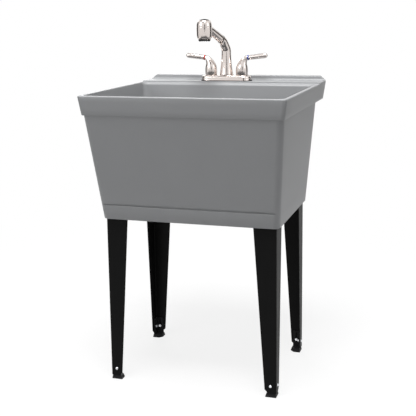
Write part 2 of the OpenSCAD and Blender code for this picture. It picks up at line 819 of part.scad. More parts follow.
module valve(side) {
    color(brass) at_faucet(side * valve_pitch / 2) difference() {
        union() {
            translate([0, 0, shank_foot_z]) cylinder(h = supply_l, r = shank_r);
            translate([0, 0, shank_foot_z + supply_l - 1])
                cylinder(h = plate_top_z - shank_foot_z - supply_l + 2, r = shank_r - thread_relief);
            translate([0, 0, plate_top_z]) cylinder(h = bonnet_h, r = bonnet_r);
        }
        translate([0, 0, plate_top_z - stem_depth])
            cylinder(h = stem_depth + bonnet_h + 1, r = stem_r + running);
        translate([0, 0, shank_foot_z - 1]) cylinder(h = shank_drop - 4, r = shank_r - 3);
    }
}
module stem(side) {
    color(brass) at_faucet(side * valve_pitch / 2, plate_top_z - stem_depth + gap)
        cylinder(h = stem_top_z - plate_top_z + stem_depth - gap, r = stem_r);
}
module shank_washers() {
    color(white_plastic) both_valves()
        tube(deck_foot_z - deck_washer_t, deck_foot_z, deck_hole_r + 6, shank_r + seat);
}
module wing_nut(top, r) {
    h = 9;
    difference() {
        union() {
            translate([0, 0, top - h]) cylinder(h = h, r = r + 5);
            for (a = [45, 225]) rotate(a) translate([r + 3, -2, top - h]) cube([6, 4, h]);
        }
        translate([0, 0, top - h - 1]) cylinder(h = h + 2, r = r + running);
    }
}
module shank_nuts() {
    color(white_plastic) both_valves() wing_nut(deck_foot_z - deck_washer_t, shank_r);
}
module centre_shank() {
    color(brass) at_faucet() tube(shank_foot_z, plate_top_z, centre_d / 2, spigot_r + running);
}
module centre_washer() {
    color(white_plastic) at_faucet()
        tube(deck_foot_z - deck_washer_t, deck_foot_z, centre_hole_r + 5, centre_d / 2 + seat);
}
module centre_nut() {
    h = 7;
    color(brass) at_faucet(0, deck_foot_z - deck_washer_t - h) difference() {
        cylinder(h = h, r = centre_d / 2 + 5.5, $fn = 6);
        translate([0, 0, -1]) cylinder(h = h + 2, r = centre_d / 2 + running);
    }
}

// Handles: local +X points along the lever
hub_gap_z = plate_top_z + gap;
lever_x = 15;
ring_s = 4;
module at_handle(side) {
    at_faucet(side * valve_pitch / 2, plate_top_z) mirror([side > 0 ? 0 : 1, 0, 0]) children();
}
module along_lever(s) {
    translate([lever_x, 0, lever_z]) rotate([0, 90 - lever_rise, 0]) translate([0, 0, s]) children();
}
module disc(x, z, r) {
    translate([x, 0, z]) cylinder(h = thin, r = r, $fn = 40);
}
module handle(side) {
    shoulder_z = bonnet_h + 4;
    neck_z = lever_z - 13;
    color(nickel) at_handle(side) difference() {
        union() {
            hull() {
                disc(0, gap, hub_r);
                disc(0, 10, hub_r * 1.02);
                disc(0, shoulder_z, hub_r * 0.96);
            }
            hull() {
                disc(0, shoulder_z, hub_r * 0.96);
                disc(3.5, neck_z, hub_r * 0.72);
            }
            hull() {
                disc(3.5, neck_z, hub_r * 0.72);
                translate([lever_x * 0.8, 0, lever_z - 1.5]) sphere(lever_r * 1.1, $fn = 32);
            }
            hull() {
                translate([lever_x * 0.8, 0, lever_z - 1.5]) sphere(lever_r * 1.1, $fn = 32);
                along_lever(0) sphere(lever_r, $fn = 32);
            }
            along_lever(0) cylinder(h = lever_l - lever_r, r = lever_r);
            along_lever(lever_l - lever_r) sphere(lever_r);
        }
        translate([0, 0, -1]) cylinder(h = bonnet_h + 1 + 2 * gap, r = bonnet_r + 2 * gap);
        cylinder(h = stem_top_z - plate_top_z + gap, r = stem_r + running);
        translate([0, 0, screw_h]) rotate([-90, 0, 0]) cylinder(h = hub_r + 2, r = set_screw_r + running);
        along_lever(ring_s) difference() {
            cylinder(h = ring_w, r = lever_r + 4);
            translate([0, 0, -1]) cylinder(h = ring_w + 2, r = lever_r - 0.7);
        }
    }
}
module lever_ring(side, colour) {
    color(colour) at_handle(side) along_lever(ring_s + running)
        tube(0, ring_w - 2 * running, lever_r + 0.4, lever_r - 0.7 + running);
}
screw_h = bonnet_h + 7;
set_screw_r = 2;
module handle_screw(side) {
    color(zinc) at_handle(side) translate([0, stem_r + running, screw_h]) rotate([-90, 0, 0])
        cylinder(h = hub_r * 0.7 - stem_r, r = set_screw_r);
}

// Spout column: a flared stem, a bend and the socket that the wand docks in. The stem's axis and the
// wand's axis cross at bend_z, and the bend's arc would meet each of them bend_run from there. The bend
// is drawn as short straight links that touch the arc, with a ball at each joint.
head_top_z = deck_z + faucet_h;
wand_drop = 17.5;
spout_az = -90 - spout_turn;
head_s = spout_reach / cos(spout_rise);
bend_z = head_top_z - wand_drop - spout_reach * tan(spout_rise);
bend_run = bend_r * tan((90 - spout_rise) / 2);
bend_joints = 2;
bend_turn = (90 - spout_rise) / bend_joints;
joint_swell = 0.05;
bend_link = 2 * bend_r * tan(bend_turn / 2);
bend_foot_z = bend_z - bend_run + bend_link / 2;
bend_end_s = bend_run - bend_link / 2;
column_foot_z = plate_top_z + gap;
spigot_r = centre_d / 2 - 3.05;
hose_r = spigot_r - 2;
dock_bore_r = dock_r - 3.8;
bore_stop = 6;
bore_ball_swell = 1.5;
bore_ball_r = hose_r + bore_ball_swell;
spigot_foot_z = shank_foot_z - 5;
seal_rise = 10;
seal_pitch = 14;
seal_zs = [shank_foot_z + seal_rise, shank_foot_z + seal_rise + seal_pitch];
clip_t = 1.2;
clip_z = shank_foot_z - gap - clip_t;
module along_spout(s) {
    at_faucet(0, bend_z) rotate([0, 90 - spout_rise, spout_az]) translate([0, 0, s]) children();
}
module bend_links(r, joints) {
    sphere(r + joint_swell);
    if (joints > 1) rotate([0, bend_turn, 0]) {
        cylinder(h = bend_link, r = r);
        translate([0, 0, bend_link]) bend_links(r, joints - 1);
    }
}
// The round space in the middle of the bend where the two bores meet
module bore_ball() {
    half = (90 - spout_rise) / 2;
    at_faucet(0, bend_z - bend_run) rotate(spout_az)
        translate([bend_r * (1 - cos(half)), 0, bend_r * sin(half)]) sphere(bore_ball_r);
}
function column_r(t) = neck_r + (column_base_r - neck_r) * pow(1 - t, 2);
module spout_column() {
    steps = 12;
    rise = bend_foot_z - column_foot_z;
    color(nickel) difference() {
        union() {
            at_faucet(0, column_foot_z) rotate_extrude() polygon(concat([[0, 0]],
                [for (i = [0:steps]) [column_r(i / steps), rise * i / steps]], [[0, rise]]));
            at_faucet(0, bend_foot_z) rotate(spout_az) bend_links(neck_r, bend_joints);
            along_spout(bend_end_s) cylinder(h = dock_s - bend_end_s, r1 = neck_r, r2 = dock_r);
            at_faucet(0, spigot_foot_z) cylinder(h = column_foot_z - spigot_foot_z + 1, r = spigot_r);
        }
        at_faucet(0, spigot_foot_z - 1) cylinder(h = bend_z - bore_stop - spigot_foot_z + 1, r = hose_r);
        bore_ball();
        along_spout(bore_stop) cylinder(h = dock_s - bore_stop + 1, r = dock_bore_r);
        for (z = seal_zs) at_faucet() tube(z, z + 2.4, spigot_r + 1, spigot_r - 1.1);
        at_faucet() tube(clip_z - running, clip_z + clip_t + running, spigot_r + 1, spigot_r - 0.8);
    }
}
module spout_seals() {
    color(rubber_black) for (z = seal_zs) at_faucet()
        tube(z + 0.1, z + 2.3, spigot_r - running, spigot_r - 1.05);
}
module spout_clip() {
    color(zinc) at_faucet() tube(clip_z, clip_z + clip_t, spigot_r + 3, spigot_r - 0.75);
}
module docking_ring() {
    color(rubber_black) along_spout(dock_s) tube(0, dock_ring_t, dock_r + 0.4, dock_bore_r + seat);
}

// Spray wand and head
wand_s = dock_s + dock_ring_t + gap;
wand_overlap = 15;
wand_end_s = head_s - wand_overlap;
water_r = 6;
fitting_r = 7.5;
fitting_l = 11;
head_x = faucet_x + spout_reach * cos(spout_az);
head_y = faucet_y + spout_reach * sin(spout_az);
seam_z = head_top_z - dome_h - 3.6;
bell_foot_z = seam_z - bell_h;
pocket_r = button_r + 0.4;
pocket_depth = 10.5;
button_h = 8;
dome_wall = 2.2;
module at_head(z = 0) {
    translate([head_x, head_y, z]) children();
}
module wand_cone(extra) {
    along_spout(wand_s) cylinder(h = wand_end_s - wand_s, r1 = dock_r + extra, r2 = wand_tip_r + extra);
}
module dome() {
    top = dome_h + 3.6;
    rim = pocket_r + 0.4;
    inner = head_r - dome_wall;
    at_head(seam_z) rotate_extrude() polygon(concat(
        [for (a = [0:10:90]) [rim + (head_r - rim) * cos(a), dome_h * sin(a)]],
        [[pocket_r, dome_h], [pocket_r, top - pocket_depth], [3 + running, top - pocket_depth],
         [3 + running, top - pocket_depth - 3.4]],
        [for (a = [90:-15:0]) [rim - dome_wall + (inner - rim + dome_wall) * cos(a),
                               (top - pocket_depth - 3.4) * sin(a)]]));
}
module spray_wand() {
    color(nickel) difference() {
        union() {
            difference() {
                wand_cone(0);
                at_head(bell_foot_z) cylinder(h = bell_h + 0.5, r = head_r - dome_wall / 2);
            }
            dome();
        }
        along_spout(wand_s - 1) cylinder(h = wand_end_s - wand_s + 2, r = water_r);
        along_spout(wand_s - 1) cylinder(h = fitting_l + 2, r = fitting_r + running);
    }
}
module hose_fitting() {
    low = bore_stop + 1;
    color(brass) along_spout(0) difference() {
        union() {
            translate([0, 0, low]) cylinder(h = wand_s - low, r = dock_bore_r - running);
            translate([0, 0, low]) cylinder(h = wand_s - low + fitting_l, r = fitting_r);
        }
        translate([0, 0, low - 1]) cylinder(h = wand_s + fitting_l + 2, r = water_r);
    }
}
module spray_bell() {
    color(nickel) difference() {
        at_head(bell_foot_z) rotate_extrude() polygon([[head_r, bell_h - seat], [head_r + 0.2, bell_h * 0.74],
            [head_r - 0.2, bell_h * 0.36], [head_r - 1.8, bell_h * 0.14], [head_r - 3.4, bell_h * 0.04],
            [head_r - 5, 0], [head_r - 6, 0],
            [head_r - 6, 2.4], [head_r - 3.8, bell_h * 0.18], [head_r - 2.2, bell_h * 0.4],
            [head_r - 1.8, bell_h * 0.74], [head_r - 2, bell_h - seat]]);
        wand_cone(seat);
    }
}
module spray_face() {
    r = head_r - 6 - seat;
    color(rubber_black) at_head(bell_foot_z) {
        rotate_extrude() polygon([[0, 3], [r, 3], [r, -seat], [r + 0.9, -seat], [r + 0.9, -face_h + 1.2],
            [r - 0.6, -face_h], [r - 4, -face_h + 0.6], [r - 6, -face_h + 2], [0, -face_h + 2]]);
        for (i = [0:nub_count - 1]) rotate(i * 360 / nub_count) translate([r - 2.2, 0, -face_h - 2])
            cylinder(h = 4, r1 = 0.7, r2 = 1.3, $fn = 16);
    }
}
module spray_button() {
    color(rubber_black) at_head(head_top_z) {
        rotate_extrude() polygon(concat([[0, -button_h]], [[button_r, -button_h]],
            [for (a = [0:15:90]) [button_r - 1.6 * (1 - cos(a)), -3.9 + 1.6 * sin(a)]],
            [for (k = [0.85, 0.7, 0.5, 0.25, 0]) [(button_r - 1.6) * k, -2.3 * k * k]]));
        translate([0, 0, -button_h - 10]) cylinder(h = 11, r = 3);
    }
}
module button_spring() {
    color(zinc) at_head(head_top_z - pocket_depth) tube(0, 0.35, 10, 6);
}

tub_end_walls();
tub_side_walls();
tub_end_aprons();
tub_side_aprons();
tub_floor();
leg_sockets();
ledge_deck();
ledge_back();
ledge_ends();
back_curb();
leg(-1, -1);  // leg_front_left
leg(1, -1);  // leg_front_right
leg(-1, 1);  // leg_rear_left
leg(1, 1);  // leg_rear_right
foot(-1, -1);  // foot_front_left
foot(1, -1);  // foot_front_right
foot(-1, 1);  // foot_rear_left
foot(1, 1);  // foot_rear_right
foot_bolts();
foot_nuts();
leg_screws();
drain_flange();
drain_upper_seal();
drain_lower_seal();
drain_locknut();
strainer_basket();
strainer_knob();
tailpiece();
tailpiece_washer();
tailpiece_nut();
faucet_gasket();
faucet_plate();
valve(-1);  // hot_valve
valve(1);  // cold_valve
stem(-1);  // hot_stem
stem(1);  // cold_stem
handle(-1);  // hot_handle
handle(1);  // cold_handle
lever_ring(-1, "firebrick");  // hot_ring
lever_ring(1, "royalblue");  // cold_ring
handle_screw(-1);  // handle_screw_hot
handle_screw(1);  // handle_screw_cold
shank_washers();
shank_nuts();
centre_shank();
centre_washer();
centre_nut();
spout_column();
spout_seals();
spout_clip();
docking_ring();
spray_wand();
hose_fitting();
spray_bell();
spray_face();
spray_button();
button_spring();
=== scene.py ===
"""Looks of the laundry sink: a grey moulded tub on black steel legs with a brushed nickel pull-out faucet.

Sizes are written in millimetres in the part's own frame and become metres when a mesh is made.
"""

import json
import math

import bmesh
import bpy
import numpy as np
from mathutils import Matrix, Vector

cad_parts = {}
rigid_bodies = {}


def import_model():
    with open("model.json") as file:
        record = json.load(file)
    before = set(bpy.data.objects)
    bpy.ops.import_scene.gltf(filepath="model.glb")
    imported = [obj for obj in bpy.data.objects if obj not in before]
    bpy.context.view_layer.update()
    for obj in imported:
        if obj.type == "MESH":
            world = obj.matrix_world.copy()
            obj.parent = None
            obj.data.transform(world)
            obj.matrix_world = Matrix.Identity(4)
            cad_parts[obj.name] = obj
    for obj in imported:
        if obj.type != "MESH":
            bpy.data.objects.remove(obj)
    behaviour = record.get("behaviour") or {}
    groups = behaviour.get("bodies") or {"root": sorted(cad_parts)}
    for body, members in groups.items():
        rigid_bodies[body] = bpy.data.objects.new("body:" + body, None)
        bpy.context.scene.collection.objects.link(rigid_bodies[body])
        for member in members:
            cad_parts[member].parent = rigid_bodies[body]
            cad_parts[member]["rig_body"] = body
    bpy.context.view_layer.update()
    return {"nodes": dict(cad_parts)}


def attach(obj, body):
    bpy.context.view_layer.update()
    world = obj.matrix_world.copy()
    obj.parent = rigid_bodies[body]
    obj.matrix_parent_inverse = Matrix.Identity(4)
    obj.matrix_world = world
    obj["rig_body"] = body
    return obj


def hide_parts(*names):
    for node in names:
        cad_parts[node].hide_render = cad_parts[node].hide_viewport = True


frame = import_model()
cad = frame["nodes"]

# The sink as a whole
WIDTH, DEPTH, HEIGHT = 581.0, 597.0, 857.25
FRONT, BACK = -DEPTH / 2, DEPTH / 2

# The curb along the back: its height, the slant of its ends, its thickness, its cove and its round
CURB_H, CURB_CUT, CURB_T, CURB_COVE, CURB_ROUND = 17.0, 17.0, 20.0, 6.0, 3.0

# Heights of the rim, the faucet deck, the tub's foot and the lip's foot
DECK_RISE, TUB_H, LIP_H = 3.0, 355.6, 54.0
RIM = HEIGHT - CURB_H
DECK, FOOT, LIP = RIM + DECK_RISE, RIM - TUB_H, RIM - LIP_H

# The lip round the top: its draft and corner radius, and the rim's width and round
LIP_DRAFT, LIP_R, RIM_W, RIM_EDGE = 7.0, 12.0, 10.0, 3.0

# The faucet ledge: its depth, the bevel in front of it, its thickness and the place of its front face
LEDGE, BEVEL_H, BEVEL_W, DECK_T, STEP_IN = 117.0, 7.0, 9.0, 6.0, 1.5
STEP_Y = BACK - LEDGE + BEVEL_W + STEP_IN

# How far the tub's outside stands in from the sink's sides, front and back, at its foot and under its lip
SIDE_IN, FRONT_IN, BACK_IN = (34.5, 10.5), (70.0, 9.0), (141.0, 111.0)

# The tub's wall, the corner radii of its outside, its basin and its floor, and its small rounds
WALL, BODY_R, BASIN_R, FLOOR_R = 5.0, 20.0, 24.0, 20.0
FOOT_ROUND_IN, FOOT_ROUND_OUT, BASIN_EDGE = 1.2, 1.6, 1.2

# The groove across the tub's front
GROOVE_RISE, GROOVE_H, GROOVE_D = 42.0, 4.5, 2.9
GROOVE_Z = FOOT + GROOVE_RISE

# The floor with its dish, and the seat of the drain with the pad under it
FLOOR_RISE, FLOOR_T, DISH_R, DISH_FLAT_R, DISH_H = 52.0, 7.0, 150.0, 44.0, 5.0
FLOOR = FOOT + FLOOR_RISE
UNDER = FLOOR - FLOOR_T
DRAIN_FLANGE_R, DRAIN_HOLE_R, DRAIN_PAD_R, SEAT_H = 37.15, 23.5, 45.0, 3.5

# The faucet's place and the pitch of its valves
FAUCET_X, FAUCET_IN, PITCH = -18.0, 67.0, 101.6
FAUCET_Y = BACK - FAUCET_IN

# The base plate: its half sizes, corner radius and height, above the gasket
PLATE_X, PLATE_Y, PLATE_R, PLATE_H, GASKET_T = 81.0, 28.0, 26.0, 16.0, 1.5
PLATE_Z = DECK + GASKET_T
PLATE_TOP = PLATE_Z + PLATE_H

# Radii of the holes for the valves and for the centre shank, and how far that shank hangs below the deck
DECK_HOLES, PLATE_HOLES, SHANK_DROP = (13.85, 17.0), (10.5, 14.15), 50.0
SHANK_FOOT = DECK - SHANK_DROP

# The spout: the barrel's rise and turn, its reach from the column's axis to the head's, and its bend
SPOUT_RISE, SPOUT_TURN, SPOUT_REACH = math.radians(31), math.radians(25), 102.0
HEAD_RISE, HEAD_JOIN, BEND_R, BEND_FLAT = 195.0, 17.5, 42.0, 2.6
HEAD_TOP = DECK + HEAD_RISE
BEND_Z = HEAD_TOP - HEAD_JOIN - SPOUT_REACH * math.tan(SPOUT_RISE)

# Radii of the column, and the distances from the bend at which its flare and its dock end
BASE_R, NECK_R, DOCK_R, FLARE_S, DOCK_S = 22.0, 15.0, 13.0, -12.7, 28.5
BORE_R, SPIGOT_R, HOSE_R = 9.5, 10.95, 8.95

# The wand: its radius at the dock, how much it narrows, and its swelling before the head
WAND_R, WAND_TAPER, WAND_SWELL, SWELL_L, WAND_BORE_R = 13.3, 2.6, 4.2, 20.0, 6.0

# The spray head: its radius, its dome, its bell and the button that stands out of the dome
HEAD_R, DOME_H, BELL_H, BUTTON_RISE = 24.0, 20.4, 37.6, 3.6
SEAM = HEAD_TOP - DOME_H - BUTTON_RISE
BELL_FOOT = SEAM - BELL_H

# Directions of the spout, and the head's axis
UP = np.array([0.0, 0.0, 1.0])
SPOUT_DIR = np.array([-math.sin(SPOUT_TURN), -math.cos(SPOUT_TURN), 0.0])
SPOUT_SIDE = np.cross(SPOUT_DIR, UP)
HEAD = np.array([FAUCET_X, FAUCET_Y, 0.0]) + SPOUT_DIR * SPOUT_REACH
HEAD_S = SPOUT_REACH / math.cos(SPOUT_RISE)

# The levers: where one leaves its hub, its length and rise, its coloured ring's groove and its rounded tip
LEVER_X, LEVER_Z, LEVER_L, LEVER_RISE = 15.0, 54.5, 69.0, math.radians(7)
RING_S, RING_W, TIP_S, TIP_R = 4.0, 4.5, 58.0, 8.1

# The bore that makes a lever's hub hollow, and how many of the hub's points stand upright
HUB_BORE_R, HUB_BORE_H, UPRIGHT_POINTS = 13.6, 24.6, 4

# The legs: their gap to the apron, their corners under the tub, their sheet and their flanges' widths
LEG_GAP = 3.5
LEG_X = WIDTH / 2 - SIDE_IN[0] - WALL - LEG_GAP
LEG_FRONT, LEG_BACK = FRONT + FRONT_IN[0] + WALL + LEG_GAP, BACK - BACK_IN[0] - WALL - LEG_GAP
LEG_T, LEG_BEND, LEG_FOOT, LEG_CUT, LEG_TOP_W, LEG_FOOT_W = 2.0, 4.0, 12.0, 10.0, 67.5, 33.0
SOCKET_T, SOCKET_R = 6.15, 12.0

# Points within this distance in metres are one point
MERGE = 2e-6

# Faces that turn by less than the flat angle are one face, edges that turn by more than the edge angle are
# rounded, and edges that turn by more than a crease, in degrees, look sharp
FLAT_ANGLE, EDGE_ANGLE = math.radians(0.5), math.radians(38)
CREASE, CUT_CREASE = 35, 30


# Meshes
def grid_faces(rows, cols, wrap_rows=False):
    """Quads between neighbours on a grid of closed rings; wrapped rows join the last ring to the first."""
    i, j = np.meshgrid(np.arange(rows if wrap_rows else rows - 1), np.arange(cols), indexing="ij")
    down, across = (i + 1) % rows, (j + 1) % cols
    quads = [i * cols + j, i * cols + across, down * cols + across, down * cols + j]
    return np.stack(quads, -1).reshape(-1, 4)


def closed_rings(rings):
    """A stack of rings with both ends closed: beyond each end ring comes one drawn in to its middle."""
    rings = np.asarray(rings)
    ends = [np.broadcast_to(rings[k].mean(0), rings[k].shape) for k in (0, -1)]
    rings = np.concatenate([ends[0][None], rings, ends[1][None]])
    return rings.reshape(-1, 3), grid_faces(*rings.shape[:2])


def looped_rings(rings):
    """A stack of rings whose last one joins the first, so that it closes on itself as a hollow body does."""
    rings = np.asarray(rings)
    return rings.reshape(-1, 3), grid_faces(*rings.shape[:2], wrap_rows=True)


def build_mesh(name, shells):
    """One mesh in metres from shells of points and quads, with doubles merged and faces turned outwards."""
    starts = np.cumsum([0] + [len(points) for points, _ in shells])
    points = np.concatenate([points for points, _ in shells]) / 1000
    faces = np.concatenate([faces + start for (_, faces), start in zip(shells, starts)])
    mesh = bpy.data.meshes.new(name)
    mesh.from_pydata(points.tolist(), [], faces.tolist())
    work = bmesh.new()
    work.from_mesh(mesh)
    bmesh.ops.remove_doubles(work, verts=work.verts, dist=MERGE)
    bmesh.ops.dissolve_degenerate(work, edges=work.edges, dist=MERGE / 20)
    bmesh.ops.recalc_face_normals(work, faces=work.faces)
    work.to_mesh(mesh)
    work.free()
    return mesh


def shade(mesh, crease):
    """Smooth shading, broken at edges that turn by more than the crease angle in degrees."""
    mesh.polygons.foreach_set("use_smooth", np.ones(len(mesh.polygons), bool))
    mesh.set_sharp_from_angle(angle=math.radians(crease))


def soften(piece, width):
    """Rounds the piece's edges by a width in millimetres."""
    bevel = piece.modifiers.new("edge rounding", "BEVEL")
    bevel.width = width / 1000
    bevel.segments = 2
    bevel.limit_method = "ANGLE"
    bevel.angle_limit = EDGE_ANGLE
    bevel.harden_normals = True
    bevel.use_clamp_overlap = True


def add_object(name, data):
    """A new object in the scene for a mesh, a lamp or a camera."""
    item = bpy.data.objects.new(name, data)
    bpy.context.scene.collection.objects.link(item)
    return item


def add_piece(name, body, shells, finish, stands_for, crease=CREASE, rounding=0.0):
    """A finished piece of the sink that rides on a body and stands for the named solids."""
    mesh = build_mesh(name, shells)
    shade(mesh, crease)
    mesh.materials.append(finish.material)
    piece = add_object(name, mesh)
    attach(piece, body)
    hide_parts(*stands_for)
    if rounding:
        soften(piece, rounding)
    return piece


def rounded_copy(node, finish, width):
    """A copy of a solid, merged into one surface, with its edges rounded."""
    mesh = cad[node].data.copy()
    work = bmesh.new()
    work.from_mesh(mesh)
    bmesh.ops.remove_doubles(work, verts=work.verts, dist=MERGE)
    bmesh.ops.dissolve_limit(work, angle_limit=FLAT_ANGLE, verts=work.verts, edges=work.edges)
    work.to_mesh(mesh)
    work.free()
    mesh.materials.clear()
    mesh.materials.append(finish.material)
    shade(mesh, CREASE)
    piece = add_object(node + "_finished", mesh)
    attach(piece, cad[node]["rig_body"])
    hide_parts(node)
    soften(piece, width)


def cut_away(piece, shells):
    """Takes a space, given as shells, out of the piece for good."""
    cutter = add_object("cutter", build_mesh("cutter", shells))
    cut = piece.modifiers.new("cut", "BOOLEAN")
    cut.operation, cut.solver, cut.object = "DIFFERENCE", "EXACT", cutter
    bpy.context.view_layer.update()
    mesh = bpy.data.meshes.new_from_object(piece.evaluated_get(bpy.context.evaluated_depsgraph_get()))
    piece.modifiers.clear()
    piece.data = mesh
    mesh.set_sharp_from_angle(angle=math.radians(CUT_CREASE))
    bpy.data.objects.remove(cutter)


# Outlines and lofts
CORNER_POINTS, SIDE_POINTS = 13, 7


def outline(x, front, back, radius, z):
    """A rectangle from -x to x and from front to back at height z, with quarter circles of the radius at its
    corners, or of one radius in front and one behind; its points run anticlockwise seen from above."""
    r_front, r_back = radius if isinstance(radius, tuple) else (radius, radius)
    turn = np.linspace(0, math.pi / 2, CORNER_POINTS)
    corners = [(x - r_back, back - r_back, 0, r_back), (r_back - x, back - r_back, 1, r_back),
               (r_front - x, front + r_front, 2, r_front), (x - r_front, front + r_front, 3, r_front)]
    arcs = [np.stack([cx + r * np.cos(turn + q * math.pi / 2), cy + r * np.sin(turn + q * math.pi / 2)], 1)
            for cx, cy, q, r in corners]
    share = np.linspace(0, 1, SIDE_POINTS + 2)[1:-1, None]
    parts = []
    for k, arc in enumerate(arcs):
        parts += [arc, arc[-1] * (1 - share) + arcs[(k + 1) % 4][0] * share]
    flat = np.concatenate(parts)
    return np.column_stack([flat, np.full(len(flat), z)])


def lathe(profile, centre, count=64, looped=True):
    """A profile of (radius, height) pairs turned about the vertical line through centre."""
    radius, height = np.asarray(profile, float).T
    turn = np.linspace(0, 2 * math.pi, count, endpoint=False)
    x, y = centre[0] + radius[:, None] * np.cos(turn), centre[1] + radius[:, None] * np.sin(turn)
    rings = np.stack([x, y, np.broadcast_to(height[:, None], x.shape)], -1)
    return looped_rings(rings) if looped else closed_rings(rings)


def arc_points(centre, radius, start, end, steps):
    """Points on an arc about centre between two angles in degrees, both included."""
    turn = np.radians(np.linspace(start, end, steps))
    return np.stack([centre[0] + radius * np.cos(turn), centre[1] + radius * np.sin(turn)], 1)


def smooth_through(points, steps):
    """A curve through the points: between two neighbours it is the cubic whose slopes there are half the way
    from the point before to the point after."""
    p = np.asarray(points, float)
    p = np.concatenate([2 * p[:1] - p[1:2], p, 2 * p[-1:] - p[-2:-1]])
    t = np.linspace(0, 1, steps, endpoint=False)[None, :, None]
    a, b, c, d = (p[k:len(p) - 3 + k, None] for k in range(4))
    square, cube = 2 * a - 5 * b + 4 * c - d, 3 * b - a - 3 * c + d
    spans = 0.5 * (2 * b + (c - a) * t + square * t ** 2 + cube * t ** 3)
    return np.concatenate([spans.reshape(-1, p.shape[1]), p[-2:-1]])


def tube(centres, tangents, radii, side, count):
    """Rings of the given radii about the points of a path that stays in the plane square to side."""
    turn = np.linspace(0, 2 * math.pi, count, endpoint=False)[None, :, None]
    across = np.cross(tangents, side)[:, None]
    circle = np.cos(turn) * side + np.sin(turn) * across
    return centres[:, None] + np.asarray(radii, float)[:, None, None] * circle


# Tub
def taper(z, foot, top):
    """A value that runs straight from the tub's foot to the lip's foot."""
    return foot + (top - foot) * (z - FOOT) / (LIP - FOOT)


def tub_plan(z, inset):
    """The half width, the front and the back of the tub's outside at height z, drawn in by the inset."""
    return (WIDTH / 2 - taper(z, *SIDE_IN) - inset, FRONT + taper(z, *FRONT_IN) + inset,
            BACK - taper(z, *BACK_IN) - inset)


def body_level(z, inset=0.0):
    """The tub's outside at height z, drawn in by the inset."""
    return outline(*tub_plan(z, inset), BODY_R - inset, z)


def basin_level(z, inset=0.0, bevel=0.0):
    """The basin's inside at height z: straight walls from the floor to the rim, drawn in by the inset, with
    the back edge moved back by the bevel."""
    share = (z - FLOOR) / (RIM - FLOOR)
    high = (WIDTH / 2 - RIM_W, FRONT + RIM_W, BACK - LEDGE)
    x, front, back = (a + (b - a) * share for a, b in zip(tub_plan(FLOOR, WALL), high))
    return outline(x - inset, front + inset, back - inset + bevel, BASIN_R - inset / 2, z)


DRAIN_Y = basin_level(FLOOR)[:, 1].min() / 2 + basin_level(FLOOR)[:, 1].max() / 2


def drain_level(radius, z):
    """A circle about the drain at height z, with its points in the order of the rounded rectangles."""
    return outline(radius, DRAIN_Y - radius, DRAIN_Y + radius, radius, z)


def grooved_level(z, depth):
    """The tub's outside at height z, with its front face set back to a flat plane at the depth."""
    ring = body_level(z)
    ring[:, 1] = np.maximum(ring[:, 1], ring[:, 1].min() + depth)
    return ring


def lip_level(z, inset):
    """The lip's outside at height z, drawn in from the sink's full size by the inset."""
    return outline(WIDTH / 2 - inset, FRONT + inset, BACK - inset, LIP_R, z)


def underside_rings():
    """From the drain hole over its pad and the floor's underside, then down inside the apron to its foot,
    whose inner edge is a quarter circle."""
    pad_top, r = UNDER - DISH_H, DRAIN_PAD_R
    pad_foot = pad_top - SEAT_H
    pad = [(DRAIN_HOLE_R, pad_foot), (r - 1, pad_foot), (r, pad_foot + 1), (r, pad_top), (r + 4, pad_top),
           (140, UNDER)]
    rings = [drain_level(*at) for at in pad]
    rings += [body_level(UNDER, WALL + 2), body_level(UNDER - 2, WALL), body_level(FOOT + 2, WALL)]
    edge = FOOT_ROUND_IN
    rings += [body_level(FOOT + edge - edge * math.sin(a), WALL - edge + edge * math.cos(a))
              for a in (0.5, 1.0, 1.57)]
    return rings


def outside_rings():
    """Up the tub's outside: the quarter circle at its foot, the groove's two edges and the tapered body."""
    edge = FOOT_ROUND_OUT
    rings = [body_level(FOOT + edge - edge * math.sin(a), edge - edge * math.cos(a))
             for a in (1.57, 1.0, 0.5, 0)]
    step = [(-1.0, 0), (-0.4, 0.1), (-0.1, 0.5), (0.1, GROOVE_D - 0.5), (0.6, GROOVE_D)]
    rings += [grooved_level(GROOVE_Z + dz, depth) for dz, depth in step]
    rings += [grooved_level(GROOVE_Z + GROOVE_H - dz, depth) for dz, depth in step[::-1]]
    rings += [body_level(z) for z in np.linspace(GROOVE_Z + 12, LIP - 4, 6)]
    return rings + [body_level(LIP - 0.6), body_level(LIP, -0.5)]


def lip_rings():
    """Up the drafted lip from its foot, and over the rim in a quarter circle."""
    top = RIM - RIM_EDGE
    rings = [lip_level(LIP, LIP_DRAFT + 1.0), lip_level(LIP + 0.3, LIP_DRAFT + 0.3),
             lip_level(LIP + 1.2, LIP_DRAFT - 0.1)]
    rings += [lip_level(z, LIP_DRAFT * (top - z) / (top - LIP)) for z in (LIP + 18, LIP + 36)]
    rings += [lip_level(top + RIM_EDGE * math.sin(a), RIM_EDGE * (1 - math.cos(a)))
              for a in np.linspace(0, math.pi / 2, 7)]
    return rings


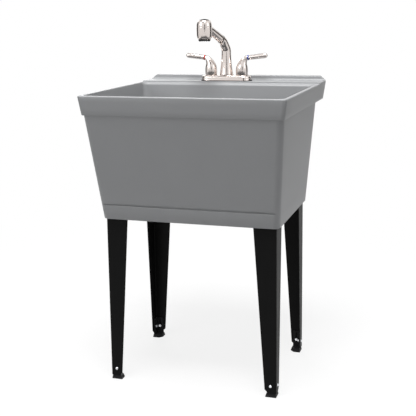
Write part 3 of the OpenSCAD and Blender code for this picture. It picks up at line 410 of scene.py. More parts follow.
def basin_rings():
    """Down the basin: its rounded edge, the bevel before the ledge, the walls and the round at their foot,
    then across the dished floor, which falls in a smooth step, to the drain's seat."""
    edge = BASIN_EDGE
    rings = [basin_level(RIM - edge * (1 - math.cos(a)), -edge * (1 - math.sin(a)), BEVEL_W)
             for a in np.linspace(0, 1.0, 4)]
    for down in (2.0, 3.6, 5.2, 6.2, 6.8, 7.4, 8.4, 10.5):
        bend = BEVEL_W * max(0.0, 1 - down / BEVEL_H) + 0.5 * math.exp(-((down - BEVEL_H) / 0.8) ** 2)
        rings.append(basin_level(RIM - down, 0, bend))
    rings += [basin_level(z) for z in np.linspace(RIM - 40, FLOOR + FLOOR_R + 6, 8)]
    rings += [basin_level(FLOOR + FLOOR_R * (1 - math.sin(a)), FLOOR_R * (1 - math.cos(a)))
              for a in np.linspace(0, math.pi / 2, 10)]
    for r in (DISH_R, 132, 110, 88, 68, 54, DISH_FLAT_R, 39):
        fall = min(1.0, (DISH_R - r) / (DISH_R - DISH_FLAT_R))
        rings.append(drain_level(r, FLOOR - DISH_H * fall * fall * (3 - 2 * fall)))
    dish, r = FLOOR - DISH_H, DRAIN_FLANGE_R
    seat = [(r + 0.5, dish), (r, dish - 0.5), (r, dish - SEAT_H), (DRAIN_HOLE_R, dish - SEAT_H)]
    return rings + [drain_level(*at) for at in seat]


def tub_rings():
    """The tub's whole skin: from the drain hole round its underside, its outside, its lip and its basin and
    back to the drain hole."""
    return underside_rings() + outside_rings() + lip_rings() + basin_rings()


def ledge_hollow_rings():
    """The space under the faucet deck: rounded rings that step back as they pass the bevel of the basin's
    back wall."""
    x, back = WIDTH / 2 - LIP_DRAFT - WALL, BACK - LIP_DRAFT - WALL
    front = [(LIP - 12, 110), (RIM - 13, 110), (RIM - 10.5, 104), (DECK - DECK_T - 2, 103)]
    rings = [outline(x, BACK - y, back, 7, z) for z, y in front]
    rings.append(outline(x - 2, BACK - 101, back - 2, 5, DECK - DECK_T))
    return rings


def ledge_rings():
    """The faucet ledge above the rim: a low step across the back with a small round along its front edge and
    the rim's own round along the others."""
    low, nose, corners = DECK - DECK_T + 0.1, 0.7, (0.5, LIP_R)
    rings = [outline(WIDTH / 2 - 0.4, STEP_Y, BACK - 0.4, corners, low),
             outline(WIDTH / 2, STEP_Y, BACK, corners, low + 1.2)]
    for a in np.linspace(0, math.pi / 2, 7):
        inset, lean = RIM_EDGE * (1 - math.cos(a)), nose * (1 - math.cos(a))
        z = DECK - RIM_EDGE + RIM_EDGE * math.sin(a)
        rings.append(outline(WIDTH / 2 - inset, STEP_Y + lean, BACK - inset, corners, z))
    return rings


def curb_rings():
    """The back curb in level rings: a cove at its front foot, a round at its top, and slanting ends. A level
    is a height above the deck, how far the front stands forward and how far the back stands in."""
    rise = HEIGHT - DECK
    levels = [(-2.9, CURB_COVE, 0.0), (-0.05, CURB_COVE, 0.0)]
    for a in np.linspace(0.15, 1.57, 6):
        levels.append((CURB_COVE * (1 - math.cos(a)), CURB_COVE * (1 - math.sin(a)), 0.0))
    for a in np.linspace(0, math.pi / 2, 8):
        inset = CURB_ROUND * (1 - math.cos(a))
        levels.append((rise - CURB_ROUND * (1 - math.sin(a)), -inset, inset))
    rings = []
    for h, forward, back_in in levels:
        end = WIDTH / 2 - 0.2 - CURB_CUT * max(h, 0) / rise - 0.5 * back_in
        corners = (1.2, max(LIP_R - 0.7 * max(h, 0), 2.5))
        rings.append(outline(end, BACK - CURB_T - forward, BACK - 0.1 - back_in, corners, DECK + h))
    return rings


def faucet_holes(radii, low, high):
    """Upright round bars between two heights where the valves and the centre shank pass, from the valves'
    radius and the shank's."""
    valve_r, centre_r = radii
    spots = [(FAUCET_X + side * PITCH / 2, valve_r) for side in (-1, 1)] + [(FAUCET_X, centre_r)]
    return [lathe([(r, low), (r, high)], (x, FAUCET_Y), looped=False) for x, r in spots]


# Legs
def to_corner(points, side, end):
    """Turns points from a leg's own corner, with x and y pointing inwards, to its place under the tub."""
    out = np.array(points, float)
    out[..., 0] = side * (LEG_X - out[..., 0])
    out[..., 1] = LEG_FRONT + out[..., 1] if end < 0 else LEG_BACK - out[..., 1]
    return out


def angle_section(width, t, bend, z):
    """A folded strip seen from above: two flanges of the width, joined by a bend with the outer radius."""
    turn = np.linspace(0, math.pi / 2, 8)
    outer = np.stack([bend - bend * np.cos(turn), bend - bend * np.sin(turn)], 1)
    inner = np.stack([bend - (bend - t) * np.cos(turn), bend - (bend - t) * np.sin(turn)], 1)
    along = np.linspace(0, 1, 5)[1:, None]
    leave, reach = outer[-1] * (1 - along) + [width, 0] * along, inner[-1] * (1 - along) + [width, t] * along
    start, turnback = outer[0] * (1 - along) + [0, width] * along, inner[0] * (1 - along) + [t, width] * along
    flat = np.concatenate([start[::-1], outer, leave, reach[::-1], inner[::-1], turnback])
    return np.column_stack([flat, np.full(len(flat), z)])


def leg_rings(side, end):
    """A tapered angle leg: flanges that narrow in a straight line to the foot, with the free lower corners
    cut off."""
    slope = (LEG_TOP_W - LEG_FOOT_W) / (UNDER - LEG_FOOT)
    heights = [LEG_FOOT, LEG_FOOT + LEG_CUT, 60, 150, 240, 330, 420, UNDER - 0.2]
    widths = [LEG_FOOT_W - LEG_CUT] + [LEG_FOOT_W + slope * (z - LEG_FOOT) for z in heights[1:]]
    return [to_corner(angle_section(w, LEG_T, LEG_BEND, z), side, end) for w, z in zip(widths, heights)]


def socket_shell(side, end):
    """The L-shaped rib under the floor that holds a leg: an angle block from its mouth up to the floor, with
    its outer corner rounded so that it follows the apron inside."""
    lead, reach, t, r = LEG_GAP + 0.5, LEG_TOP_W + 4, SOCKET_T, SOCKET_R
    turn = np.linspace(math.pi, 1.5 * math.pi, 9)
    corner = np.stack([r - lead + r * np.cos(turn), r - lead + r * np.sin(turn)], 1)
    flat = np.concatenate([corner, [[reach, -lead], [reach, t], [t, t], [t, reach], [-lead, reach]]])
    rings = [np.column_stack([flat, np.full(len(flat), z)]) for z in (FOOT + 6, UNDER + 0.5)]
    return closed_rings([to_corner(ring, side, end) for ring in rings])


# Faucet
def spout_path(s):
    """The spout's centre line at distances s from its bend: straight up below it, on an arc through it,
    drawn in a little at its middle, and straight along the rising barrel after it. Returns the points and the
    directions there."""
    s = np.asarray(s, float)
    turn = math.pi / 2 - SPOUT_RISE
    reach = BEND_R * math.tan(turn / 2)
    angle = np.clip((s + reach) / (2 * reach), 0, 1) * turn
    start = np.array([FAUCET_X, FAUCET_Y, BEND_Z - reach])
    radius = BEND_R - BEND_FLAT * np.sin(math.pi * angle / turn) ** 2
    outwards, upwards = (BEND_R - radius * np.cos(angle))[:, None], (radius * np.sin(angle))[:, None]
    arc = start + outwards * SPOUT_DIR + upwards * UP
    tangent = np.sin(angle)[:, None] * SPOUT_DIR + np.cos(angle)[:, None] * UP
    beyond = np.where(s < -reach, s + reach, np.where(s > reach, s - reach, 0))
    return arc + beyond[:, None] * tangent, tangent


def spout_tube(stations):
    """Rings of the spout from (distance from the bend, radius) pairs."""
    s, radii = np.asarray(stations, float).T
    return tube(*spout_path(s), radii, SPOUT_SIDE, 64)


def column_rings():
    """The column from inside its spigot, down and out of it, up the flared foot, whose radius falls by a
    power of the way up, and round the bend to the dock, then back down the socket that holds the wand."""
    foot, spigot = PLATE_TOP + 0.3 - BEND_Z, SHANK_FOOT - 5 - BEND_Z
    out = [(spigot + 30, HOSE_R), (spigot, HOSE_R), (spigot, SPIGOT_R - 0.5), (spigot + 0.5, SPIGOT_R),
           (foot, SPIGOT_R), (foot, BASE_R - 1.1), (foot + 0.4, BASE_R - 0.3), (foot + 1.2, BASE_R)]
    out += [(foot + 1.2 + (FLARE_S - foot - 1.2) * t, NECK_R + (BASE_R - NECK_R) * (1 - t) ** 2.2)
            for t in np.linspace(0.02, 1, 40)]
    out += [(s, NECK_R + (DOCK_R - NECK_R) * (s - FLARE_S) / (DOCK_S - FLARE_S))
            for s in np.linspace(FLARE_S + 2, DOCK_S - 1, 20)]
    out += [(DOCK_S - 0.5, DOCK_R), (DOCK_S - 0.1, DOCK_R - 0.4)]
    heading = math.cos(SPOUT_RISE) * SPOUT_DIR + math.sin(SPOUT_RISE) * UP
    s = np.array([DOCK_S - 0.1, DOCK_S - 0.5, 6.5])
    centres = np.array([FAUCET_X, FAUCET_Y, BEND_Z]) + s[:, None] * heading
    socket = tube(centres, np.broadcast_to(heading, (3, 3)), [BORE_R + 0.4, BORE_R, BORE_R], SPOUT_SIDE, 64)
    return np.concatenate([spout_tube(out), socket])


def dock_stations():
    """The docking ring: a band that swells a little towards its middle, hollow inside."""
    band = [(-0.3, 9.7), (-0.3, 13.0), (0, 13.5), (0.6, 13.75), (1.1, 13.8), (1.6, 13.75), (2.2, 13.5),
            (2.45, 13.0), (2.45, 9.7)]
    return [(DOCK_S + along, radius) for along, radius in band]


def wand_stations():
    """The pull-out wand from the dock to the head: a slow taper that swells again where it meets the head."""
    near, far = DOCK_S + 2.5, HEAD_S - 15
    out = [(near, WAND_R - 0.6), (near + 0.15, WAND_R - 0.25), (near + 0.7, WAND_R)]
    for s in np.linspace(near + 4, far, 26):
        share, swell = (s - near) / (far - near), max(0.0, (s - far + SWELL_L) / SWELL_L)
        out.append((s, WAND_R - WAND_TAPER * share + WAND_SWELL * swell ** 2.2))
    return out + [(far, WAND_BORE_R), (far - 30, WAND_BORE_R), (near, WAND_BORE_R)]


def dome_profile():
    """The head's dome: a quarter ellipse from the seam up to the button's pocket, with the pocket cut into it
    and an even wall behind it."""
    rim, inner, pocket_r, stem_r, crown_r = 15.7, HEAD_R - 2.2, 15.3, 3.05, 13.5
    floor = DOME_H + BUTTON_RISE - 10.5
    under = floor - 3.4
    out = [(HEAD_R - 0.6, 0.0), (HEAD_R - 0.12, 0.15), (HEAD_R, 0.7)]
    out += [(rim + (HEAD_R - rim) * math.cos(a), DOME_H * math.sin(a))
            for a in np.linspace(0.08, math.pi / 2 - 0.05, 22)]
    out += [(rim - 0.1, DOME_H - 0.02), (pocket_r, DOME_H - 0.35), (pocket_r, floor), (stem_r, floor),
            (stem_r, under)]
    out += [(crown_r + (inner - crown_r) * math.cos(a), under * math.sin(a))
            for a in np.linspace(math.pi / 2, 0, 8)]
    return np.array(out) + [0, SEAM]


def bell_profile():
    """The bell below the seam: nearly straight sides that curl in to a rounded lower edge, evenly thick."""
    side = [(0, BELL_H - 1.2), (0.2, BELL_H * 0.74), (-0.15, BELL_H * 0.38), (-1.5, BELL_H * 0.15),
            (-3.2, BELL_H * 0.045), (-5.2, 0.0)]
    inner = [(-6, 0.3), (-6, 2.4), (-3.8, BELL_H * 0.18), (-2.2, BELL_H * 0.4), (-1.8, BELL_H * 0.74),
             (-2, BELL_H - 0.15)]
    top = [(-0.7, BELL_H - 0.15), (-0.2, BELL_H - 0.4)]
    side, inner, top = (np.array(part) + [HEAD_R, 0] for part in (side, inner, top))
    return np.concatenate([top, smooth_through(side, 7), inner]) + [0, BELL_FOOT]


def face_shells():
    """The rubber spray face: a dished disc with a raised rim and two rings of tapered nubs."""
    r, foot = HEAD_R - 6.15, -4.6
    disc = [(0.01, 3), (r, 3), (r, -0.15), (r + 0.5, -0.25), (r + 0.9, -0.7), (r + 0.9, foot + 1.6),
            (r + 0.4, foot + 0.5), (r - 0.6, foot), (r - 3.4, foot + 0.3), (r - 4.6, foot + 1.1),
            (r - 6, foot + 1.9), (0.01, foot + 2.1)]
    shells = [lathe(np.array(disc) + [0, BELL_FOOT], HEAD[:2], 72, looped=False)]
    nub = np.array([(1.35, 2.4), (1.2, 0.2), (0.95, -1.4), (0.6, -1.9), (0.45, -1.6), (0.4, -0.4)])
    for radius, number, lift in ((r - 2.2, 14, 0.0), (r - 7.4, 8, 1.9)):
        for k in range(number):
            turn = 2 * math.pi * k / number
            spot = HEAD[:2] + radius * np.array([math.cos(turn), math.sin(turn)])
            shells.append(lathe(nub + [0, BELL_FOOT + foot + lift], spot, 14, looped=False))
    return shells


def button_profile():
    """The push button: straight sides, a rounded shoulder and a crowned top that falls with the square of the
    radius, on a thin stem."""
    r, shoulder_r, stem_r = 13.3, 1.6, 3.0
    crown = [(r * k, HEAD_TOP - 2.3 * k * k) for k in (0.001, 0.2, 0.4, 0.6, 0.8, 0.93)]
    shoulder = arc_points((r, HEAD_TOP - 3.9), shoulder_r, 84, 0, 7)
    stem = [(r + shoulder_r, HEAD_TOP - 7.6), (r + 1.2, HEAD_TOP - 8), (stem_r, HEAD_TOP - 8),
            (stem_r, HEAD_TOP - 17.6), (0.01, HEAD_TOP - 18)]
    return np.concatenate([crown, shoulder, stem])


def plate_level(inset, z):
    """The base plate's outline at height z, drawn in by the inset."""
    front, back = FAUCET_Y - PLATE_Y + inset, FAUCET_Y + PLATE_Y - inset
    return outline(PLATE_X - inset, front, back, PLATE_R - inset, z) + [FAUCET_X, 0, 0]


def plate_rings():
    """The base plate: level rings that stand nearly straight at first and then round over to the flat top on
    a quarter ellipse."""
    rings = [plate_level(0.6, PLATE_Z), plate_level(0, PLATE_Z + 0.8), plate_level(0.5, PLATE_Z + 3)]
    rings += [plate_level(1.0 + 6.5 * (1 - math.cos(a)), PLATE_Z + 6 + 10 * math.sin(a))
              for a in np.linspace(0, math.pi / 2, 14)]
    return rings + [plate_level(10, PLATE_TOP)]


def hub_rows():
    """The hub as rows of (distance outwards, height, radius): upright at its foot, then climbing and turning
    over outwards as it swells and narrows."""
    foot = [(0, 0.3, 18.3), (0, 0.6, 18.8), (0, 1.6, 19.0)]
    climb = [(0, 5, 19.1), (0, 11, 19.35), (0.1, 18, 19.25), (0.5, 25, 18.5), (1.5, 32, 16.8),
             (3.4, 39, 14.0), (6.6, 45.6, 11.2), (10.4, 50.6, 9.2), (14.2, 53.7, 8.0)]
    return np.concatenate([foot, smooth_through(climb, 5)])


def lever_rows():
    """The lever as rows of (distance outwards, height, radius) along its rising line: the coloured ring's
    groove, a bar that widens a little, and a rounded tip."""
    groove = RING_S + RING_W
    s = np.array([RING_S - 0.4, RING_S, RING_S, groove, groove, groove + 0.4, 14, 22, 32, 42, 52, TIP_S])
    r = np.array([7.4, 7.2, 6.85, 6.85, 7.1, 7.3, 7.35, 7.5, 7.7, 7.9, 8.05, TIP_R])
    tip = np.linspace(0.12, 1, 9)
    s = np.concatenate([s, TIP_S + (LEVER_L - TIP_S) * tip])
    r = np.concatenate([r, TIP_R * np.sqrt(np.clip(1 - tip ** 2.6, 0.0004, 1))])
    return np.column_stack([LEVER_X + s * math.cos(LEVER_RISE), LEVER_Z + s * math.sin(LEVER_RISE), r])


def handle_rings(side):
    """A lever handle on one side: rings square to a path up the hub and out along the lever, after the rings
    of the hub's bore. The path's first points stand upright."""
    hub, lever = hub_rows(), lever_rows()
    rows = np.concatenate([hub, lever])
    tangent = np.gradient(rows[:, :2], axis=0)
    tangent[:UPRIGHT_POINTS] = [0, 1]
    tangent[len(hub):] = [math.cos(LEVER_RISE), math.sin(LEVER_RISE)]
    tangent /= np.linalg.norm(tangent, axis=1)[:, None]
    rows = np.concatenate([[(0, HUB_BORE_H, HUB_BORE_R), (0, 0.3, HUB_BORE_R)], rows])
    tangent = np.concatenate([[[0, 1], [0, 1]], tangent])
    centres = np.column_stack([side * rows[:, 0], np.zeros(len(rows)), rows[:, 1]])
    heading = np.column_stack([side * tangent[:, 0], np.zeros(len(rows)), tangent[:, 1]])
    rings = tube(centres, heading, rows[:, 2], np.array([0.0, 1.0, 0.0]), 56)
    return rings + [FAUCET_X + side * PITCH / 2, FAUCET_Y, PLATE_TOP]


# Materials
class Signal:
    """A number or colour that varies over a surface. Arithmetic on a number adds the Math nodes."""

    def __init__(self, nodes, socket):
        self.nodes, self.socket = nodes, socket

    def _math(self, operation, other):
        return self.nodes.node("ShaderNodeMath", {"operation": operation}, {0: self, 1: other})

    def __add__(self, other):
        return self._math("ADD", other)

    def __mul__(self, other):
        return self._math("MULTIPLY", other)

    __radd__, __rmul__ = __add__, __mul__


# The Mix node's sockets for a share, two colours and their mixture
MIX_SHARE, MIX_FIRST, MIX_SECOND, MIX_RESULT = 0, 6, 7, 2


class Nodes:
    """The nodes of a material or of the world."""

    def __init__(self, tree):
        self.tree = tree

    def feed(self, socket, value):
        """Links a socket to a signal, or sets it to a value."""
        if isinstance(value, Signal):
            self.tree.links.new(value.socket, socket)
        else:
            socket.default_value = value

    def node(self, kind, settings, sockets, output=0):
        """Adds a node: its settings first, then its sockets by name or number, as values or signals."""
        node = self.tree.nodes.new(kind)
        for key, value in settings.items():
            setattr(node, key, value)
        for key, value in sockets.items():
            self.feed(node.inputs[key], value)
        return Signal(self, node.outputs[output])

    def mix(self, share, first, second):
        """A colour between two colours."""
        sockets = {MIX_SHARE: share, MIX_FIRST: (*first, 1), MIX_SECOND: (*second, 1)}
        return self.node("ShaderNodeMix", {"data_type": "RGBA"}, sockets, MIX_RESULT)


class Finish(Nodes):
    """A material with one Principled shader. Its slot, one of the record's slots, is stored but not used."""

    def __init__(self, name, slot, colour, sockets):
        self.slot = slot
        self.material = bpy.data.materials.new(name)
        self.material.use_nodes = True
        super().__init__(self.material.node_tree)
        self.shader = self.tree.nodes["Principled BSDF"].inputs
        self.drive("Base Color", (*colour, 1))
        for socket, value in sockets.items():
            self.drive(socket, value)
        self.place = self.node("ShaderNodeTexCoord", {}, {}, "Object")

    def drive(self, socket, value):
        """Feeds a socket of the shader."""
        self.feed(self.shader[socket], value)

    def noise(self, scale, detail=2.0, stretch=(1, 1, 1), roughness=0.5):
        """Soft random patches from 0 to 1, in Object coordinates stretched along an axis."""
        place = self.node("ShaderNodeMapping", {}, {"Vector": self.place, "Scale": stretch})
        sockets = {"Vector": place, "Scale": scale, "Detail": detail, "Roughness": roughness}
        return self.node("ShaderNodeTexNoise", {}, sockets)

    def bump(self, height, strength, distance):
        """Raises the surface by the height signal, over a distance in metres."""
        sockets = {"Strength": strength, "Distance": distance, "Height": height}
        self.drive("Normal", self.node("ShaderNodeBump", {}, sockets))


def moulded_tub():
    """Grey polypropylene: a fine even grain, faint cloudiness in the colour and a satin sheen that varies."""
    finish = Finish("grey polypropylene", "tub", (0.290, 0.295, 0.303), {"Roughness": 0.44})
    cloud, grain, fleck = finish.noise(7, 3), finish.noise(1500), finish.noise(420)
    patches = cloud * 0.6 + fleck * 0.4
    finish.drive("Base Color", finish.mix(patches, (0.272, 0.277, 0.285), (0.312, 0.317, 0.325)))
    finish.drive("Roughness", 0.38 + cloud * 0.06 + grain * 0.08)
    finish.bump(grain * 0.7 + fleck * 0.3, 0.22, 0.00035)
    return finish


def powder_coat():
    """Black powder coat on sheet steel: orange peel, with a dull sheen."""
    sheen = {"Roughness": 0.42, "Specular IOR Level": 0.08}
    finish = Finish("black powder coat", "leg", (0.004, 0.004, 0.004), sheen)
    peel, cloud = finish.noise(700), finish.noise(14, 3)
    finish.drive("Base Color", finish.mix(cloud, (0.003, 0.003, 0.003), (0.006, 0.006, 0.006)))
    finish.drive("Roughness", 0.36 + cloud * 0.08 + peel * 0.10)
    finish.bump(peel, 0.25, 0.0004)
    return finish


def dark_plastic(name, slot, colour, grain_scale, roughness):
    """Dark moulded plastic or rubber with a fine matt grain."""
    finish = Finish(name, slot, colour, {"Roughness": roughness, "Specular IOR Level": 0.08})
    grain, cloud = finish.noise(grain_scale), finish.noise(30, 3)
    lighter = tuple(c * 1.5 + 0.002 for c in colour)
    finish.drive("Base Color", finish.mix(cloud, colour, lighter))
    finish.drive("Roughness", (roughness - 0.06) + grain * 0.12)
    finish.bump(grain, 0.25, 0.0003)
    return finish


def pale_plastic():
    """White moulded plastic with a soft sheen."""
    finish = Finish("white plastic", "white_plastic", (0.72, 0.72, 0.69), {"Roughness": 0.4})
    cloud, grain = finish.noise(25, 3), finish.noise(800)
    finish.drive("Base Color", finish.mix(cloud, (0.68, 0.68, 0.65), (0.76, 0.76, 0.73)))
    finish.drive("Roughness", 0.34 + grain * 0.12)
    finish.bump(grain, 0.12, 0.0003)
    return finish


def metal(name, slot, dark, light, roughness, stretch, scale=260):
    """Metal with fine brush lines: noise drawn out along one axis moves its colour, roughness and surface."""
    finish = Finish(name, slot, light, {"Metallic": 1.0, "Roughness": roughness})
    lines, cloud = finish.noise(scale, 3, stretch, 0.6), finish.noise(22, 3)
    finish.drive("Base Color", finish.mix(lines * 0.6 + cloud * 0.4, dark, light))
    finish.drive("Roughness", (roughness - 0.04) + lines * 0.05 + cloud * 0.03)
    finish.bump(lines, 0.16, 0.00005)
    return finish


def enamel(name, slot, colour):
    """A glossy coloured ring with a slightly uneven coat."""
    finish = Finish(name, slot, colour, {"Roughness": 0.25})
    cloud = finish.noise(180)
    finish.drive("Base Color", finish.mix(cloud, tuple(c * 0.85 for c in colour), colour))
    finish.drive("Roughness", 0.2 + cloud * 0.12)
    return finish


# Brushed nickel: its dark lines, its light ones and its roughness
NICKEL = ((0.58, 0.515, 0.48), (0.80, 0.745, 0.715), 0.17)
tub_grey = moulded_tub()
leg_black = powder_coat()
foot_black = dark_plastic("black nylon", "foot", (0.016, 0.016, 0.017), 600, 0.5)
black_plastic = dark_plastic("black soft plastic", "black_plastic", (0.012, 0.012, 0.012), 900, 0.5)
rubber = dark_plastic("black rubber", "rubber", (0.010, 0.010, 0.010), 500, 0.62)
nickel_up = metal("brushed nickel upright", "nickel", *NICKEL, (1, 1, 0.06))
nickel_across = metal("brushed nickel crosswise", "nickel", *NICKEL, (0.06, 1, 1))
zinc = metal("bright zinc plate", "zinc", (0.62, 0.63, 0.65), (0.80, 0.81, 0.84), 0.30, (1, 1, 1), 300)
stainless = metal("brushed stainless steel", "stainless", (0.52, 0.53, 0.54), (0.68, 0.69, 0.70), 0.28,
                  (0.08, 1, 1))
brass = metal("machined brass", "brass", (0.52, 0.36, 0.13), (0.78, 0.58, 0.27), 0.30, (1, 1, 6), 200)
white_plastic = pale_plastic()
hot_red = enamel("red enamel", "hot_mark", (0.52, 0.035, 0.025))
cold_blue = enamel("blue enamel", "cold_mark", (0.035, 0.075, 0.36))

# The tub with its ledge, curb and leg sockets
tub = add_piece("tub_skin", "sink", [looped_rings(tub_rings())], tub_grey,
                ("tub_end_walls", "tub_side_walls", "tub_end_aprons", "tub_side_aprons", "tub_floor",
                 "ledge_back", "ledge_ends"), crease=30)
ledge = add_piece("faucet_ledge", "sink", [closed_rings(ledge_rings())], tub_grey, ("ledge_deck",), crease=40)
deck_holes = faucet_holes(DECK_HOLES, RIM - 20, DECK + 5)
cut_away(tub, [closed_rings(ledge_hollow_rings())])
cut_away(tub, deck_holes)
cut_away(ledge, deck_holes)
add_piece("curb_skin", "sink", [closed_rings(curb_rings())], tub_grey, ("back_curb",), crease=40)
CORNERS = {"front_left": (-1, -1), "front_right": (1, -1), "rear_left": (-1, 1), "rear_right": (1, 1)}
add_piece("socket_ribs", "sink", [socket_shell(*c) for c in CORNERS.values()], tub_grey, ("leg_sockets",),
          rounding=0.5)

# The legs and feet
for place, corner in CORNERS.items():
    add_piece(f"steel_leg_{place}", "sink", [closed_rings(leg_rings(*corner))], leg_black, (f"leg_{place}",),
              crease=30, rounding=0.35)
    rounded_copy(f"foot_{place}", foot_black, 0.7)
for node in ("foot_bolts", "foot_nuts", "leg_screws"):
    rounded_copy(node, zinc, 0.25)

# The drain, and the seals and nuts that are hidden under the sink
for node in ("drain_flange", "strainer_basket", "strainer_knob"):
    rounded_copy(node, stainless, 0.3)
for node in ("drain_upper_seal", "drain_lower_seal", "tailpiece_washer", "faucet_gasket"):
    rounded_copy(node, rubber, 0.3)
for node in ("drain_locknut", "tailpiece", "tailpiece_nut", "shank_washers", "shank_nuts", "centre_washer"):
    rounded_copy(node, white_plastic, 0.5)

# The faucet
plate = add_piece("base_plate", "sink", [closed_rings(plate_rings())], nickel_across, ("faucet_plate",))
cut_away(plate, faucet_holes(PLATE_HOLES, PLATE_Z - 5, PLATE_TOP + 5))
for node in ("hot_valve", "cold_valve", "hot_stem", "cold_stem", "centre_shank", "centre_nut",
             "hose_fitting"):
    rounded_copy(node, brass, 0.3)
for node in ("handle_screw_hot", "handle_screw_cold", "spout_clip", "button_spring"):
    rounded_copy(node, zinc, 0.1)
rounded_copy("spout_seals", rubber, 0.3)
for name, side, ring_finish in (("hot", -1, hot_red), ("cold", 1, cold_blue)):
    handle = [closed_rings(handle_rings(side))]
    add_piece(f"{name}_lever", f"{name}_control", handle, nickel_across, (f"{name}_handle",))
    rounded_copy(f"{name}_ring", ring_finish, 0.25)
add_piece("spout", "spout", [closed_rings(column_rings())], nickel_up, ("spout_column",))
add_piece("dock_ring", "spout", [looped_rings(spout_tube(dock_stations()))], black_plastic, ("docking_ring",))
add_piece("wand", "wand", [looped_rings(spout_tube(wand_stations())), lathe(dome_profile(), HEAD[:2], 96)],
          nickel_up, ("spray_wand",))
add_piece("bell", "wand", [lathe(bell_profile(), HEAD[:2], 96)], nickel_up, ("spray_bell",))
add_piece("spray_disc", "wand", face_shells(), rubber, ("spray_face",))
add_piece("push_button", "button", [lathe(button_profile(), HEAD[:2], 80, looped=False)], black_plastic,
          ("spray_button",))


# The camera's sensor in millimetres, and the picture's width and the focal length in pixels
SENSOR_W, PHOTO_W, FOCAL_PIXELS = 36.0, 416, 855.98


# Stage, light and camera
def stage_plane(name, centre, across, along, material):
    """A flat card from its centre and its two half edges."""
    centre, across, along = (np.array(v, float) for v in (centre, across, along))
    corners = [centre + a * across + b * along for a, b in ((-1, -1), (1, -1), (1, 1), (-1, 1))]
    mesh = bpy.data.meshes.new(name)
    mesh.from_pydata([c.tolist() for c in corners], [], [(0, 1, 2, 3)])
    mesh.materials.append(material)
    card = add_object(name, mesh)
    return card


def seen_directly(nodes):
    """1 for rays from the camera and for reflections, 0 for the light that surfaces give each other."""
    rays = ("Is Camera Ray", "Is Glossy Ray")
    camera, glossy = (nodes.node("ShaderNodeLightPath", {}, {}, ray) for ray in rays)
    return nodes.node("ShaderNodeMath", {"operation": "MAXIMUM"}, {0: camera, 1: glossy})


def floor_material():
    """White floor: to the camera and in reflections it is white, with the object's soft shadow kept near the
    object. It passes on less light to the object than it shows."""
    material = bpy.data.materials.new("studio floor")
    material.use_nodes = True
    nodes = Nodes(material.node_tree)
    direct = seen_directly(nodes)
    place = nodes.node("ShaderNodeTexCoord", {}, {}, "Object")
    distance = nodes.node("ShaderNodeVectorMath", {"operation": "LENGTH"}, {0: place}, "Value")
    plain = nodes.node("ShaderNodeMapRange", {"interpolation_type": "SMOOTHSTEP"},
                       {"Value": distance, "From Min": 0.6, "From Max": 2.0, "To Min": 0.82, "To Max": 1.0})
    colour = nodes.mix(direct, (0.35, 0.35, 0.35), (0.92, 0.92, 0.92))
    matt = nodes.node("ShaderNodeBsdfDiffuse", {}, {"Color": colour})
    white = nodes.node("ShaderNodeEmission", {}, {})
    blend = nodes.node("ShaderNodeMixShader", {}, {0: direct * plain, 1: matt, 2: white})
    nodes.feed(material.node_tree.nodes["Material Output"].inputs["Surface"], blend)
    return material


def studio_world(level):
    """White to the camera and in reflections, and a soft even light of the given level on the object."""
    world = bpy.data.worlds.new("studio")
    bpy.context.scene.world = world
    world.use_nodes = True
    nodes = Nodes(world.node_tree)
    sockets = {"Value": seen_directly(nodes), "To Min": level, "To Max": 1.0}
    background = world.node_tree.nodes["Background"].inputs
    nodes.feed(background["Color"], (1, 1, 1, 1))
    nodes.feed(background["Strength"], nodes.node("ShaderNodeMapRange", {}, sockets))


def softbox(name, location, target, size, power):
    """A square area lamp aimed at a point."""
    light = bpy.data.lights.new(name, "AREA")
    light.size, light.energy = size, power
    lamp = add_object(name, light)
    lamp.location = location
    lamp.rotation_mode = "QUATERNION"
    lamp.rotation_quaternion = (Vector(target) - Vector(location)).to_track_quat("-Z", "Y")


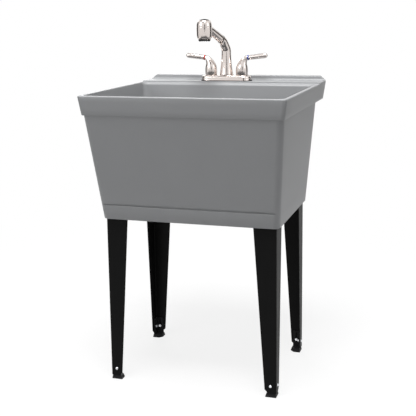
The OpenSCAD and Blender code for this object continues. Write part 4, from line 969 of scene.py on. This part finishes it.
def dark_card(name, centre, across, along, level=0.02):
    """A card of a dark warm grey that only reflections see, for the dark lines in polished metal."""
    material = bpy.data.materials.new(name)
    material.use_nodes = True
    colour = material.node_tree.nodes["Principled BSDF"].inputs["Base Color"]
    colour.default_value = (level, 0.92 * level, 0.85 * level, 1)
    card = stage_plane(name, centre, across, along, material)
    for ray in ("camera", "diffuse", "shadow", "transmission", "volume_scatter"):
        setattr(card, f"visible_{ray}", False)


def photo_camera(location, yaw, pitch, roll, focal, shift):
    """A camera from its place in metres, its turn to the left, its dip and its roll in degrees, and its focal
    length and rise as shares of the picture's width."""
    yaw, pitch, roll = (math.radians(a) for a in (yaw, pitch, roll))
    ahead = np.array([-math.sin(yaw) * math.cos(pitch), math.cos(yaw) * math.cos(pitch), -math.sin(pitch)])
    right = np.array([math.cos(yaw), math.sin(yaw), 0.0])
    down = np.cross(ahead, right)
    tilt, level = math.sin(roll), math.cos(roll)
    right, down = level * right + tilt * down, level * down - tilt * right
    lens = bpy.data.cameras.new("camera")
    lens.sensor_width, lens.lens, lens.shift_y = SENSOR_W, SENSOR_W * focal, shift
    camera = add_object("camera", lens)
    turn = Matrix((right, -down, -ahead)).transposed()
    camera.matrix_world = Matrix.Translation(location) @ turn.to_4x4()
    bpy.context.scene.camera = camera


stage_plane("floor", (0, 0, -0.0005), (6, 0, 0), (0, 6, 0), floor_material())
studio_world(0.25)
softbox("overhead", (0.2, -1.0, 4.2), (0, 0, 0.7), 1.6, 190)
softbox("right side", (3.2, -0.8, 2.2), (0, 0, 0.6), 1.8, 9)
softbox("front left", (-2.2, -2.6, 2.4), (0, 0, 0.6), 1.8, 30)
softbox("behind", (-1.6, 3.2, 2.2), (0, 0, 0.6), 1.8, 30)
dark_card("card left", (-2.92, 1.01, 1.2), (0.28, 1.06, 0), (0, 0, 1.15))
dark_card("card behind", (1.87, 1.55, 1.0), (-0.43, 0.61, 0), (0, 0, 0.95))
dark_card("card above", (-0.22, -1.27, 2.7), (0.42, 0, 0), (0, 0.19, 0.16))
dark_card("card back", (-0.85, 3.12, 3.4), (1.2, 0.3, 0), (0, 0, 1.7), 0.12)
dark_card("card front", (1.13, -2.756, 1.55), (0.37, 0.14, 0), (0, 0, 0.65))
bpy.context.scene.view_settings.view_transform = "Standard"
photo_camera((0.74132, -2.39968, 1.05905), 17.413, 9.947, 0.75, FOCAL_PIXELS / PHOTO_W, -0.11)
